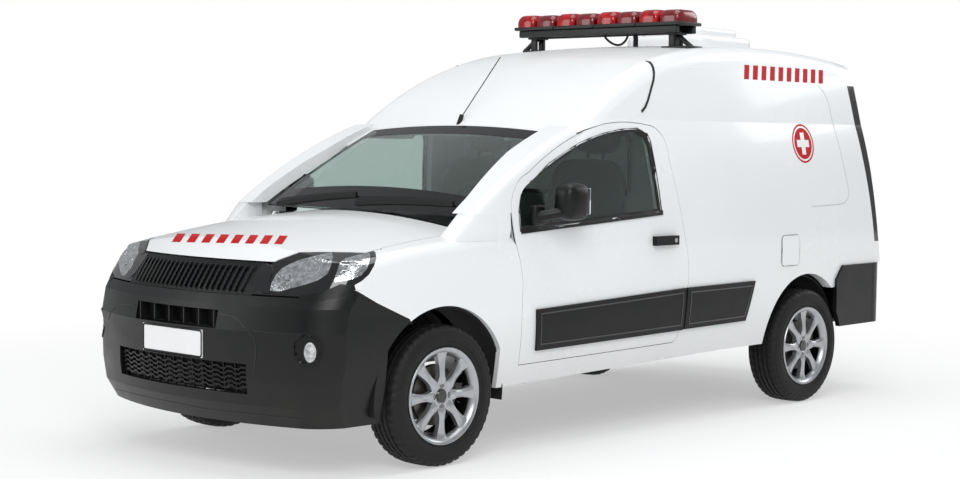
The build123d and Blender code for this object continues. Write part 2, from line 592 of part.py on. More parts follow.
def running_gear():
    for end, y in (("front", Y_FA), ("rear", Y_RA)):
        for side, sign in (("left", 1), ("right", -1)):
            tyre, rim = wheel(X_WHEEL, y, sign)
            keep("tyre_" + end + "_" + side, tyre)
            keep("rim_" + end + "_" + side, rim)
    foot, top = KINGPIN_FOOT, KINGPIN_TOP
    lean = (top[0] - foot[0]) / (top[1] - foot[1])
    x_at = lambda z: foot[0] + (z - foot[1]) * lean
    upright = block(640, 700, Y_FA - 35, Y_FA + 35, 225, 400)
    stub = rod((690, Y_FA, Z_AX), (X_WHEEL + 38, Y_FA, Z_AX), 21.5)
    strut = rod((x_at(395), Y_FA, 395), (x_at(700), Y_FA, 700), 20) + rod((x_at(690), Y_FA, 690),
                                                                       (x_at(840), Y_FA, 840), 10)
    neck = block(600, 650, Y_FA - 25, Y_FA + 25, 370, 420)
    stud = rod((x_at(240), Y_FA, 240), (x_at(198), Y_FA, 198), 10)
    both("knuckle", upright + stub + strut + neck + stud)
    socket = rod((x_at(240), Y_FA, 240), (x_at(180), Y_FA, 180), 10.4)
    arm = block(300, 672, Y_FA - 32, Y_FA + 32, 190, 211) - socket
    carrier = block(-330, 330, Y_FA - 70, Y_FA + 70, 195, 260)
    post = block(395, 440, Y_FA - 20, Y_FA + 20, 200, 440) + block(330, 440, Y_FA - 20, Y_FA + 20, 200, 260)
    keep("front_subframe", arm + mirrored(arm) + carrier + post + mirrored(post))
    beam = rod((-640, Y_RA, Z_AX), (640, Y_RA, Z_AX), 30)
    stubs = rod((-X_WHEEL - 38, Y_RA, Z_AX), (X_WHEEL + 38, Y_RA, Z_AX), 21.5)
    spring = block(480, 540, 900, 1780, Z_AX + 28, Z_AX + 44)
    hangers = block(480, 540, 900, 930, Z_AX + 44, Z_FLOOR - 22) + block(480, 540, 1750, 1780, Z_AX + 44, Z_FLOOR - 22)
    keep("rear_axle", beam + stubs + spring + mirrored(spring) + hangers + mirrored(hangers))
    pipe = rod((150, -1410, 360), (150, 1810, 360), 20) + rod((150, -1380, 355), (150, -1380, 440 - FIT), 16)
    silencer = fillet(block(20, 320, 1800, 2060, 300, 384).edges().filter_by(Axis.Y), 30)
    pipe += silencer + rod((250, 2050, 330), (250, 2150, 330), 22)
    for y in (-600, 900, 1900):
        pipe += block(142, 158, y, y + 24, 370, Z_FLOOR - 22)
    keep("exhaust", pipe)
    keep("fuel_tank", fillet(block(-450, 100, 250, 850, 255, Z_FLOOR - 22).edges().filter_by(Axis.Z), 40))


LIGHTBAR_Y = 590.0
LIGHTBAR_HALF = 623.0


def roof_items():
    """Light bar on two feet, ventilator cowl and aerial."""
    rails = [block(-600, 600, y - 22, y + 22, 1936, 1960) for y in (LIGHTBAR_Y - 55, LIGHTBAR_Y + 55)]
    deck = block(-LIGHTBAR_HALF + 12, LIGHTBAR_HALF - 12, LIGHTBAR_Y - 120, LIGHTBAR_Y + 120, 1960, 1982)
    bar = rails[0] + rails[1] + deck
    roof = upper_body(-FIT)
    for sx in (1, -1):
        foot = side_prism(poly((LIGHTBAR_Y - 100, 1800), (LIGHTBAR_Y - 70, 1936), (LIGHTBAR_Y + 70, 1936),
                               (LIGHTBAR_Y + 100, 1800)), 480, 520)
        foot = foot if sx > 0 else mirrored(foot)
        bar += foot - roof
    keep("lightbar_base", bar)
    lenses = None
    for x0, x1 in ((-620, -322), (-300, -6), (6, 300), (322, 620)):
        pod = block(x0, x1, LIGHTBAR_Y - 130, LIGHTBAR_Y + 130, 1982, 2050)
        pod = fillet(pod.edges().filter_by(Axis.Z), 60)
        pod = fillet(pod.faces().sort_by(Axis.Z)[-1].edges(), 24)
        lenses = pod if lenses is None else lenses + pod
    keep("lightbar_lenses", lenses)
    vent = fillet(block(-280, 280, 1060, 1560, 1750, 1950).edges().filter_by(Axis.Z), 90)
    vent = fillet(vent.faces().sort_by(Axis.Z)[-1].edges(), 30)
    lid = fillet(block(-215, 215, 1120, 1500, 1950, 1995).edges().filter_by(Axis.Z), 70)
    lid = fillet(lid.faces().sort_by(Axis.Z)[-1].edges(), 22)
    keep("roof_ventilator", (vent + lid) - roof)
    aerial = rod((0, -505, 1440), (0, -480, 1492), 11) + rod((0, -487, 1478), (0, -213, 1781), 2.5)
    keep("aerial", aerial - roof)


def trim(outer):
    """Rub strips, door handles, mirrors, fuel flap."""
    proud, snug = upper_body(-13), upper_body(-FIT)
    strip = proud - snug
    front_zone = poly((-825, 450), (226, 468), (238, 672), (-832, 634))
    rear_zone = poly((238, 470), (752, 477), (824, 676), (250, 672))
    both("door_strip", strip & side_prism(front_zone, 300, WIDE))
    rear = strip & side_prism(rear_zone, 300, WIDE)
    keep("side_strips", rear + mirrored(rear))
    flap = (upper_body(-3) - snug) & side_prism(Pos(1154, 818) * RectangleRounded(168, 160, 24), 300, WIDE)
    keep("fuel_flap", flap)
    handle = block(700, 846, -20, 154, 886, 930) - snug
    both("door_handle", biggest(handle & block(0, WIDE, -1400, 2400, 200, 2050)))
    body = fillet(block(868, 985, -800, -640, 1030, 1195).edges(), 34)
    base = block(815, 880, -885, -800, 1010, 1100) + rod((870, -850, 1055), (930, -740, 1080), 26)
    arm = (base + block(700, 830, -905, -800, 985, 1090)) - snug
    mirror_body = body + arm
    both("door_mirror", biggest(mirror_body))


def interior(front):
    dash = side_prism(poly((-998, 640), (-998, 1000), (-880, 1010), (-760, 960), (-740, 860), (-800, 700),
                           (-860, 640)), -690, 690)
    keep("dashboard", dash)
    seats = None
    for x in (-370, 370):
        cushion = fillet(block(x - 250, x + 250, -560, -60, 600, 740).edges(), 40)
        back = side_prism(poly((-130, 700), (-10, 700), (120, 1290), (40, 1300)), x - 240, x + 240)
        base = block(x - 200, x + 200, -520, -120, Z_FLOOR, 620)
        head = fillet(block(x - 130, x + 130, 50, 150, 1310, 1460).edges(), 30)
        stem = block(x - 60, x + 60, 85, 97, 1280, 1320)
        seat = cushion + back + base + head + stem
        seats = seat if seats is None else seats + seat
    keep("seats", seats)
    tilt = Pos(370, -690, 1010) * Rot(-62, 0, 0)
    rim = tilt * Torus(180, 15)
    spokes = tilt * Box(340, 40, 16) + tilt * Cylinder(55, 40)
    column = rod((370, -700, 1004), (370, -900, 880), 28)
    keep("steering_wheel", (rim + spokes + column) - dash)
    cowl = front & block(-690, 690, -1142, -1004, 984 + FIT, Z_COWL - FIT)
    for sx in (1, -1):
        cowl -= block(sx * 605 - 24, sx * 605 + 24, -1300, -1010, 900, 1100)
    keep("cowl", cowl)


def main():
    outer, inner, tail_ring = cab_and_box()
    doors(outer)
    front = front_end()
    tail_end(tail_ring)
    floor_and_structure()
    running_gear()
    roof_items()
    trim(outer)
    interior(front)


main()
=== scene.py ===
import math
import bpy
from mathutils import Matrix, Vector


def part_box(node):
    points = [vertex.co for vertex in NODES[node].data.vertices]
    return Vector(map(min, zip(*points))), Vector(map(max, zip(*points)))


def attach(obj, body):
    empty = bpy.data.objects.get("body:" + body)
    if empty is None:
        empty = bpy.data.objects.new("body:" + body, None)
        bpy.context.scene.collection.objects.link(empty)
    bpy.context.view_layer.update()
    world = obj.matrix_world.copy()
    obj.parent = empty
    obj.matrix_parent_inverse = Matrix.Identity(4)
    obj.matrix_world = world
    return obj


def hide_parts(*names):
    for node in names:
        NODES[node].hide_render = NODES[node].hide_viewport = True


bl_info = {
    "name": "Box van ambulance",
    "version": (1, 0, 0),
    "blender": (4, 5, 0),
    "location": "View3D > Sidebar > Ambulance",
    "description": "Finishes and trims of a box van ambulance on its CAD frame",
    "category": "Object",
}

import bmesh
import bpy
from mathutils import Matrix, Vector
from mathutils.bvhtree import BVHTree

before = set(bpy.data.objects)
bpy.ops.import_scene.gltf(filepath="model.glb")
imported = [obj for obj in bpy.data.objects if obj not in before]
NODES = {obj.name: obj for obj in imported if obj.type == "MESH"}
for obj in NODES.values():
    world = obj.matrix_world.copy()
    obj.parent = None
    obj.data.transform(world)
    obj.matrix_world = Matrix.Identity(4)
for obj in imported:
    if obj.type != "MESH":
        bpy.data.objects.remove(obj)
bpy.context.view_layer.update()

# the camera: place in metres, heading, tilt and roll in radians, focal length and centre offset in pixels
EYE = Vector((6.0606, -6.6600, 1.3935))
YAW, PITCH, ROLL = -0.73109, -0.07351, 0.01295
FOCAL_PX = 1787.6
IMAGE = (960, 479)
CENTRE_PX = (59.8, 28.8)
# the axles' places along Y, their height and the wheels' middle planes, in metres
FRONT_AXLE, REAR_AXLE, AXLE_Z, WHEEL_X = -1.380, 1.337, 0.3015, 0.712


# ------------------------------------------------------------ helpers
def linear(code, alpha=1.0):
    """The linear colour of an sRGB hex value."""
    parts = [int(code[i:i + 2], 16) / 255 for i in (1, 3, 5)]
    return tuple(c / 12.92 if c <= 0.04045 else ((c + 0.055) / 1.055) ** 2.4 for c in parts) + (alpha,)


def add(tree, kind, inputs=None, **settings):
    """Adds a node; inputs maps a socket to a value or to the socket it takes its value from."""
    made = tree.nodes.new(kind)
    for key, value in settings.items():
        setattr(made, key, value)
    for key, value in (inputs or {}).items():
        socket = made.inputs[key]
        if isinstance(value, bpy.types.NodeSocket):
            tree.links.new(value, socket)
        else:
            socket.default_value = value
    return made


def emptied_tree(owner):
    """The node tree of a material or world, switched on and empty."""
    owner.use_nodes = True
    owner.node_tree.nodes.clear()
    return owner.node_tree


def finish(name, base, rough, shade=0.94, mottle=0.35, grain=0.004, relief=0.0, relief_size=0.001, soil=0.0,
           rough_span=0.05, sockets=None):
    """A procedural finish: mottled colour, uneven gloss and fine relief; sizes are in metres."""
    mat = bpy.data.materials.new(name)
    tree = emptied_tree(mat)
    place = add(tree, "ShaderNodeTexCoord").outputs["Object"]
    cloud = add(tree, "ShaderNodeTexNoise", {"Vector": place, "Scale": 1 / mottle, "Detail": 4.0})
    light = linear(base) if isinstance(base, str) else tuple(base)
    dark = tuple(c * shade for c in light[:3]) + (1.0,)
    ramp = add(tree, "ShaderNodeValToRGB", {"Fac": cloud.outputs["Fac"]})
    ramp.color_ramp.elements[0].position, ramp.color_ramp.elements[0].color = 0.3, dark
    ramp.color_ramp.elements[1].position, ramp.color_ramp.elements[1].color = 0.65, light
    colour = ramp.outputs["Color"]
    if soil:
        clean_z, soiled_z = 0.62, 0.24  # the film of dust starts at the one height and is full at the other
        height = add(tree, "ShaderNodeSeparateXYZ", {"Vector": place})
        low = add(tree, "ShaderNodeMapRange", {"Value": height.outputs["Z"], "From Min": clean_z,
                                               "From Max": soiled_z,
                                               "To Min": 0.0, "To Max": soil})
        patchy = add(tree, "ShaderNodeMath", {0: low.outputs["Result"], 1: cloud.outputs["Fac"]},
                     operation="MULTIPLY")
        mix = add(tree, "ShaderNodeMixRGB", {"Fac": patchy.outputs["Value"], "Color1": colour,
                                             "Color2": linear("#8d867b")})
        colour = mix.outputs["Color"]
    fine = add(tree, "ShaderNodeTexNoise", {"Vector": place, "Scale": 1 / grain, "Detail": 2.0})
    gloss = add(tree, "ShaderNodeMapRange", {"Value": cloud.outputs["Fac"], "From Min": 0.3, "From Max": 0.7,
                                             "To Min": rough - rough_span / 2,
                                             "To Max": rough + rough_span / 2})
    wanted = {"Base Color": colour, "Roughness": gloss.outputs["Result"]}
    if relief:
        bump = add(tree, "ShaderNodeBump", {"Height": fine.outputs["Fac"], "Strength": relief,
                                            "Distance": relief_size})
        wanted["Normal"] = bump.outputs["Normal"]
    wanted.update(sockets or {})
    shader = add(tree, "ShaderNodeBsdfPrincipled", wanted)
    add(tree, "ShaderNodeOutputMaterial", {"Surface": shader.outputs["BSDF"]})
    return mat


FINISHES = {
    # baked enamel on steel: bright, faintly uneven gloss, a little road film low down
    "white_baked_enamel": dict(
        base="#eceeef", rough=0.26, shade=0.985, mottle=0.5, grain=0.003, relief=0.02, relief_size=0.0004,
        soil=0.5, sockets={"Coat Weight": 0.5, "Coat Roughness": 0.06}),
    # the same enamel in a pressed groove, where it lies in shade
    "panel_shadow_enamel": dict(
        base="#c3c6c8", rough=0.4, shade=0.97, mottle=0.3, grain=0.003),
    # gel coat on glass-fibre mouldings: as white, with a softer gloss
    "white_gel_coat": dict(
        base="#ebedee", rough=0.33, shade=0.98, mottle=0.4, grain=0.006, relief=0.04, relief_size=0.0006,
        sockets={"Coat Weight": 0.25, "Coat Roughness": 0.15}),
    # grained polypropylene: dull dark grey with a leather-like tooled grain
    "grained_polypropylene": dict(
        base="#0c0d0e", rough=0.38, shade=0.86, mottle=0.12, grain=0.0025, relief=0.16, relief_size=0.0006,
        soil=0.06, rough_span=0.1, sockets={"Specular IOR Level": 0.32}),
    # the same plastic dyed through: a deeper black with less sheen
    "black_grained_polypropylene": dict(
        base="#08090a", rough=0.42, shade=0.8, mottle=0.1, grain=0.0025, relief=0.18, relief_size=0.0006,
        soil=0.03, rough_span=0.1, sockets={"Specular IOR Level": 0.3}),
    # piano black acrylic: deep black with sharp reflections
    "gloss_black_acrylic": dict(
        base="#0c0d0e", rough=0.08, shade=0.8, mottle=0.2, grain=0.004,
        sockets={"Coat Weight": 0.6, "Coat Roughness": 0.03}),
    # EPDM rubber: matt, slightly greyed black
    "seal_rubber": dict(
        base="#101112", rough=0.62, shade=0.85, mottle=0.05, grain=0.002, relief=0.1, relief_size=0.0003),
    # vulcanised tread rubber: dull, dusty charcoal
    "tyre_rubber": dict(
        base="#0d0d0e", rough=0.62, shade=0.72, mottle=0.06, grain=0.0015, relief=0.25, relief_size=0.0005,
        soil=0.03, rough_span=0.14, sockets={"Specular IOR Level": 0.35}),
    # silver lacquer on cast aluminium: soft metallic sparkle under a clear coat
    "silver_lacquered_alloy": dict(
        base="#b4b6b9", rough=0.32, shade=0.9, mottle=0.03, grain=0.0012, relief=0.06, relief_size=0.0002,
        soil=0.0, rough_span=0.08, sockets={"Metallic": 0.8, "Coat Weight": 0.3}),
    # turned cast iron: brownish grey, half dull metal
    "machined_cast_iron": dict(
        base="#6d6a66", rough=0.45, shade=0.8, mottle=0.02, grain=0.001, relief=0.2, relief_size=0.0003,
        sockets={"Metallic": 0.9}),
    # wax and stone-chip coating: rough, almost black
    "underbody_wax": dict(
        base="#131313", rough=0.68, shade=0.7, mottle=0.07, grain=0.004, relief=0.3, relief_size=0.001),
    # sand-cast aluminium: dull, grainy light grey
    "cast_aluminium_dull": dict(
        base="#77787a", rough=0.55, shade=0.75, mottle=0.05, grain=0.002, relief=0.3, relief_size=0.0008,
        sockets={"Metallic": 0.8}),
    # tinted laminated glass, clean: clear with a green-grey cast
    "tinted_glass": dict(
        base="#c4d3ce", rough=0.02, shade=0.99, mottle=0.5, grain=0.01, rough_span=0.0,
        sockets={"Transmission Weight": 1.0, "IOR": 1.45}),
    # silvered glass: a plain mirror
    "silvered_mirror_glass": dict(
        base="#e2e6e8", rough=0.02, shade=0.98, mottle=0.3, grain=0.01, rough_span=0.0,
        sockets={"Metallic": 1.0}),
    # screen-printed ceramic frit: glossy black under the glass
    "ceramic_frit": dict(
        base="#0a0b0b", rough=0.12, shade=0.8, mottle=0.1, grain=0.002),
    # vacuum-metallised reflector with pressed facets: bright and broken up
    "metallised_reflector": dict(
        base="#dcdfe2", rough=0.1, shade=0.45, mottle=0.02, grain=0.012, relief=0.55, relief_size=0.003,
        rough_span=0.1, sockets={"Metallic": 0.9, "Coat Weight": 1.0, "Coat Roughness": 0.02}),
    # smoked acrylic: nearly black with a red cast and sharp reflections
    "smoked_acrylic": dict(
        base="#120607", rough=0.1, shade=0.6, mottle=0.05, grain=0.004,
        sockets={"Coat Weight": 0.6, "Coat Roughness": 0.03}),
    # red polycarbonate domes, ribbed inside: light and dark red by turns
    "red_polycarbonate": dict(
        base="#b4000a", rough=0.14, shade=0.32, mottle=0.035, grain=0.008, relief=0.25, relief_size=0.002,
        rough_span=0.06, sockets={"Coat Weight": 0.4, "Coat Roughness": 0.05}),
    # the same domes over an unlit lamp: a deeper, more even red
    "dark_red_polycarbonate": dict(
        base="#7c000c", rough=0.2, shade=0.5, mottle=0.03, grain=0.006, relief=0.2, relief_size=0.002,
        sockets={"Coat Weight": 0.6, "Coat Roughness": 0.04}),
    # self-adhesive red vinyl: flat, even red
    "red_vinyl": dict(
        base="#b8000a", rough=0.5, shade=0.95, mottle=0.2, grain=0.002, relief=0.02, relief_size=0.0002,
        sockets={"Specular IOR Level": 0.2}),
    # white reflective sheet: even and slightly satin
    "white_reflective_sheet": dict(
        base="#f0f1f1", rough=0.4, shade=0.97, mottle=0.1, grain=0.002, relief=0.05, relief_size=0.0002),
    # injection-moulded cabin plastic: matt dark grey
    "cabin_plastic": dict(
        base="#26282a", rough=0.6, shade=0.85, mottle=0.1, grain=0.003, relief=0.2, relief_size=0.0006),
    # lacquered board: plain pale grey with a satin face
    "lacquered_board": dict(
        base="#cfd2d3", rough=0.45, shade=0.95, mottle=0.3, grain=0.003, relief=0.05, relief_size=0.0004),
    # powder-coated steel: satin black with a fine orange peel
    "black_powder_coat": dict(
        base="#141516", rough=0.42, shade=0.85, mottle=0.06, grain=0.002, relief=0.15, relief_size=0.0004),
}


# the real thread is about 0.5 mm wide; it is drawn five times as coarse, so that it shows
SEAT_THREAD = 0.0025


def woven(name, dark, light, thread):
    """Flat-woven polyester: warp and weft of two greys, drawn at the thread pitch."""
    mat = bpy.data.materials.new(name)
    tree = emptied_tree(mat)
    place = add(tree, "ShaderNodeTexCoord").outputs["Object"]
    scale = 0.314 / thread  # a wave texture of scale 1 has one band every 0.314 m
    warp, weft = (add(tree, "ShaderNodeTexWave", {"Vector": place, "Scale": scale, "Distortion": 0.6},
                      bands_direction=way) for way in ("X", "DIAGONAL"))
    both = add(tree, "ShaderNodeMath", {0: warp.outputs["Fac"], 1: weft.outputs["Fac"]}, operation="MULTIPLY")
    ramp = add(tree, "ShaderNodeValToRGB", {"Fac": both.outputs["Value"]})
    ramp.color_ramp.elements[0].color = linear(dark)
    ramp.color_ramp.elements[1].color = linear(light)
    bump = add(tree, "ShaderNodeBump", {"Height": both.outputs["Value"], "Strength": 0.5, "Distance": 0.0008})
    shader = add(tree, "ShaderNodeBsdfPrincipled",
                 {"Base Color": ramp.outputs["Color"], "Roughness": 0.9, "Normal": bump.outputs["Normal"],
                  "Sheen Weight": 0.25, "Sheen Roughness": 0.4})
    add(tree, "ShaderNodeOutputMaterial", {"Surface": shader.outputs["BSDF"]})
    return mat


def paint(name):
    """The material of that name, made on first use; the user's colours stand in for two of them."""
    found = bpy.data.materials.get(name)
    if found:
        return found
    if name == "seat_cloth":
        return woven(name, "#2c2e31", "#43474c", SEAT_THREAD)
    settings = bpy.context.scene.ambulance
    chosen = {"white_baked_enamel": settings.body_colour, "red_vinyl": settings.marking_colour}
    return finish(name, **{**FINISHES[name], "base": chosen.get(name, FINISHES[name]["base"])})


def piece(name, mesh, finish_name, body, smooth=40):
    """Puts a finished mesh on its body."""
    mesh.materials.clear()
    mesh.materials.append(paint(finish_name))
    mesh.polygons.foreach_set("use_smooth", [smooth > 0] * len(mesh.polygons))
    if smooth > 0:
        mesh.set_sharp_from_angle(angle=math.radians(smooth))
    obj = bpy.data.objects.new(name, mesh)
    bpy.context.scene.collection.objects.link(obj)
    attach(obj, body)
    return obj


def mesh_of(name, verts, faces):
    """A mesh from points and faces, merged and with its faces pointing out."""
    mesh = bpy.data.meshes.new(name)
    mesh.from_pydata([tuple(v) for v in verts], [], faces)
    work = bmesh.new()
    work.from_mesh(mesh)
    bmesh.ops.remove_doubles(work, verts=work.verts, dist=1e-6)
    bmesh.ops.recalc_face_normals(work, faces=work.faces)
    work.to_mesh(mesh)
    work.free()
    mesh.update()
    return mesh


def joined(name, meshes):
    """One mesh from several."""
    verts, faces = [], []
    for mesh in meshes:
        base = len(verts)
        verts += [v.co.copy() for v in mesh.vertices]
        faces += [tuple(base + i for i in p.vertices) for p in mesh.polygons]
        bpy.data.meshes.remove(mesh)
    out = bpy.data.meshes.new(name)
    out.from_pydata([tuple(v) for v in verts], [], faces)
    out.update()
    return out


def mirrored(mesh, flip=True):
    """Mirrors a mesh across the vehicle's middle where flip is set."""
    if flip:
        mesh.transform(Matrix.Scale(-1, 4, Vector((1, 0, 0))))
        mesh.flip_normals()
    return mesh


def moved(mesh, place, flip=False):
    """Shifts a mesh, mirrored first where flip is set."""
    mirrored(mesh, flip).transform(Matrix.Translation(Vector(place)))
    return mesh


def lofted(name, rings, closed=False):
    """Skin over rings of equally many points; its ends are capped, or joined where it is closed."""
    n, count = len(rings[0]), len(rings)
    faces = []
    for i in range(count if closed else count - 1):
        k = (i + 1) % count
        for j in range(n):
            m = (j + 1) % n
            faces.append((i * n + j, i * n + m, k * n + m, k * n + j))
    if not closed:
        faces += [tuple(range(n)), tuple(range((count - 1) * n, count * n))]
    return mesh_of(name, [point for ring in rings for point in ring], faces)


def bevelled_box(name, low, high, radius=0.004, segments=3):
    """A box between two corners, with rounded edges."""
    low, high = Vector(low), Vector(high)
    work = bmesh.new()
    bmesh.ops.create_cube(work, size=1.0)
    for v in work.verts:
        v.co = Vector([low[i] + (v.co[i] + 0.5) * (high[i] - low[i]) for i in range(3)])
    bmesh.ops.bevel(work, geom=work.edges[:], offset=radius, segments=segments, profile=0.5, affect="EDGES")
    mesh = bpy.data.meshes.new(name)
    work.to_mesh(mesh)
    work.free()
    return mesh


def turned(name, profile, steps, shape=None):
    """Solid of revolution about the X axis from a closed loop of (x, r); shape may move a point."""
    rings = []
    for i in range(steps):
        a = 2 * math.pi * i / steps
        loop = [shape(i, x, r) for x, r in profile] if shape else profile
        rings.append([(x, r * math.sin(a), r * math.cos(a)) for x, r in loop])
    return lofted(name, rings, closed=True)


def tube(name, path, radius, sides=10):
    """A round bar along points, closed at both ends."""
    path = [Vector(p) for p in path]
    rings = []
    for i, p in enumerate(path):
        t = (path[min(i + 1, len(path) - 1)] - path[max(i - 1, 0)]).normalized()
        a = t.orthogonal().normalized() if i == 0 else (a - t * a.dot(t)).normalized()
        b = t.cross(a)
        turns = [2 * math.pi * k / sides for k in range(sides)]
        rings.append([p + (a * math.cos(w) + b * math.sin(w)) * radius for w in turns])
    return lofted(name, rings)


# ------------------------------------------------------------ repeats
def repeat_tree():
    """Geometry Nodes: copies of the input along a step, each turned a little more about X."""
    tree = bpy.data.node_groups.get("repeat_along_and_round")
    if tree:
        return tree
    tree = bpy.data.node_groups.new("repeat_along_and_round", "GeometryNodeTree")
    for label, kind in (("Geometry", "NodeSocketGeometry"), ("Count", "NodeSocketInt"),
                        ("Step", "NodeSocketVector"), ("Turn", "NodeSocketFloat"),
                        ("Finish", "NodeSocketMaterial")):
        tree.interface.new_socket(label, in_out="INPUT", socket_type=kind)
    tree.interface.new_socket("Geometry", in_out="OUTPUT", socket_type="NodeSocketGeometry")
    given = add(tree, "NodeGroupInput").outputs
    line = add(tree, "GeometryNodeMeshLine", {"Count": given["Count"], "Offset": given["Step"]})
    index = add(tree, "GeometryNodeInputIndex")
    angle = add(tree, "ShaderNodeMath", {0: index.outputs[0], 1: given["Turn"]}, operation="MULTIPLY")
    euler = add(tree, "ShaderNodeCombineXYZ", {"X": angle.outputs[0]})
    turn = add(tree, "FunctionNodeEulerToRotation", {0: euler.outputs[0]})
    copies = add(tree, "GeometryNodeInstanceOnPoints",
                 {"Points": line.outputs[0], "Instance": given["Geometry"], "Rotation": turn.outputs[0]})
    real = add(tree, "GeometryNodeRealizeInstances", {0: copies.outputs[0]})
    done = add(tree, "GeometryNodeSetMaterial", {"Geometry": real.outputs[0], "Material": given["Finish"]})
    add(tree, "NodeGroupOutput", {0: done.outputs[0]})
    return tree


def repeated(mesh, count, step=(0, 0, 0), turn=0.0, finish_name="black_powder_coat"):
    """The mesh repeated by the node tree, as one plain mesh."""
    tree = repeat_tree()
    obj = bpy.data.objects.new("repeat_work", mesh)
    bpy.context.scene.collection.objects.link(obj)
    mod = obj.modifiers.new("repeat", "NODES")
    mod.node_group = tree
    values = {"Count": count, "Step": step, "Turn": turn, "Finish": paint(finish_name)}
    for item in tree.interface.items_tree:
        if item.in_out == "INPUT" and item.name in values:
            mod[item.identifier] = values[item.name]
    obj.update_tag()
    graph = bpy.context.evaluated_depsgraph_get()
    graph.update()
    out = bpy.data.meshes.new_from_object(obj.evaluated_get(graph))
    obj.modifiers.remove(mod)
    bpy.data.objects.remove(obj)
    bpy.data.meshes.remove(mesh)
    return out


# ------------------------------------------------------------ thin pieces laid on a surface
def view_axes():
    """The camera's right, up and forward directions."""
    ahead = Vector((math.sin(YAW) * math.cos(PITCH), math.cos(YAW) * math.cos(PITCH), math.sin(PITCH)))
    right = ahead.cross(Vector((0, 0, 1))).normalized()
    up = right.cross(ahead)
    right, up = (math.cos(ROLL) * right + math.sin(ROLL) * up, -math.sin(ROLL) * right + math.cos(ROLL) * up)
    return right, up, ahead


def eye_ray(u, v):
    """The ray from the camera through a point of its image, in pixels."""
    right, up, ahead = view_axes()
    x = (u - IMAGE[0] / 2 - CENTRE_PX[0]) / FOCAL_PX
    y = (v - IMAGE[1] / 2 - CENTRE_PX[1]) / FOCAL_PX
    return EYE, (ahead + right * x - up * y).normalized()


def side_ray(u, v):
    """The ray onto the left side at (y, z)."""
    return Vector((3, u, v)), Vector((-1, 0, 0))


def front_ray(u, v):
    """The ray onto the front at (x, z)."""
    return Vector((u, -4, v)), Vector((0, 1, 0))


def top_ray(u, v):
    """The ray onto the top at (x, y)."""
    return Vector((u, v, 3)), Vector((0, 0, -1))


def rear_ray(u, v):
    """The ray onto the rear at (x, z)."""
    return Vector((u, 4, v)), Vector((0, -1, 0))


def surface_of(names):
    """The surface of some CAD nodes, ready for rays."""
    verts, faces = [], []
    for name in names:
        mesh = NODES[name].data
        base = len(verts)
        verts += [v.co.copy() for v in mesh.vertices]
        faces += [tuple(base + i for i in p.vertices) for p in mesh.polygons]
    return BVHTree.FromPolygons(verts, faces)


def laid(name, targets, outlines, ray, proud, step, sunk=0.0006, both_sides=False):
    """A thin closed mesh that follows the nodes' surface inside outlines drawn along the rays.

    It stands proud of the surface and is sunk into it by those distances, and step is the size of its facets.
    An outline is one loop, or a list of an outer loop and its holes.
    """
    tree = surface_of(targets)
    verts, faces = [], []
    for outline in outlines:
        loops = outline if isinstance(outline[0][0], (tuple, list)) else [outline]
        work = bmesh.new()
        for loop in loops:
            ring = [work.verts.new((u, v, 0)) for u, v in loop]
            for a, b in zip(ring, ring[1:] + ring[:1]):
                work.edges.new((a, b))
        bmesh.ops.triangle_fill(work, edges=work.edges[:], use_beauty=True)
        for axis in (0, 1):
            low = min(v.co[axis] for v in work.verts)
            high = max(v.co[axis] for v in work.verts)
            cuts = int((high - low) / step)
            for i in range(1, cuts + 1):
                at, normal = [0, 0, 0], [0, 0, 0]
                at[axis], normal[axis] = low + (high - low) * i / (cuts + 1), 1
                bmesh.ops.bisect_plane(work, geom=work.verts[:] + work.edges[:] + work.faces[:], plane_co=at,
                                       plane_no=normal)
        bmesh.ops.remove_doubles(work, verts=work.verts, dist=step * 0.01)
        bmesh.ops.recalc_face_normals(work, faces=work.faces)
        work.verts.ensure_lookup_table()
        work.verts.index_update()
        base, count = len(verts), len(work.verts)
        tops, feet = [], []
        for v in work.verts:
            start, heading = ray(v.co.x, v.co.y)
            hit, normal, _, _ = tree.ray_cast(start, heading)
            if hit is None:
                near = start + heading * ((tree.find_nearest(start)[0] - start).dot(heading))
                hit, normal, _, _ = tree.find_nearest(near)
            if normal.dot(heading) > 0:
                normal = -normal
            tops.append(hit + normal * proud)
            feet.append(hit - normal * sunk)
        verts += tops + feet
        for f in work.faces:
            ids = [v.index for v in f.verts]
            faces.append([base + i for i in ids])
            faces.append([base + count + i for i in reversed(ids)])
        for e in work.edges:
            if len(e.link_faces) == 1:
                a, b = e.verts[0].index, e.verts[1].index
                faces.append([base + a, base + b, base + count + b, base + count + a])
        work.free()
    mesh = mesh_of(name, verts, faces)
    if both_sides:
        mesh = joined(name, [mesh, mirrored(mesh.copy())])
    return mesh


def through(*groups):
    """Points in metres along a chain of arcs and straight lines.

    Each arc is given by three points in millimetres, and each line by its ends.
    """
    steps = 8
    path = []
    for group in groups:
        if len(group) < 3:
            path += group
            continue
        (ax, ay), (bx, by), (cx, cy) = group
        d = 2 * (ax * (by - cy) + bx * (cy - ay) + cx * (ay - by))
        aa, bb, cc = ax * ax + ay * ay, bx * bx + by * by, cx * cx + cy * cy
        ux = (aa * (by - cy) + bb * (cy - ay) + cc * (ay - by)) / d
        uy = (aa * (cx - bx) + bb * (ax - cx) + cc * (bx - ax)) / d
        first, last = math.atan2(ay - uy, ax - ux), math.atan2(cy - uy, cx - ux)
        sweep = (last - first + math.pi) % (2 * math.pi) - math.pi
        r = math.hypot(ax - ux, ay - uy)
        path += [(ux + r * math.cos(first + sweep * i / steps), uy + r * math.sin(first + sweep * i / steps))
                 for i in range(steps + 1)]
    return [(u / 1000, v / 1000) for u, v in path]


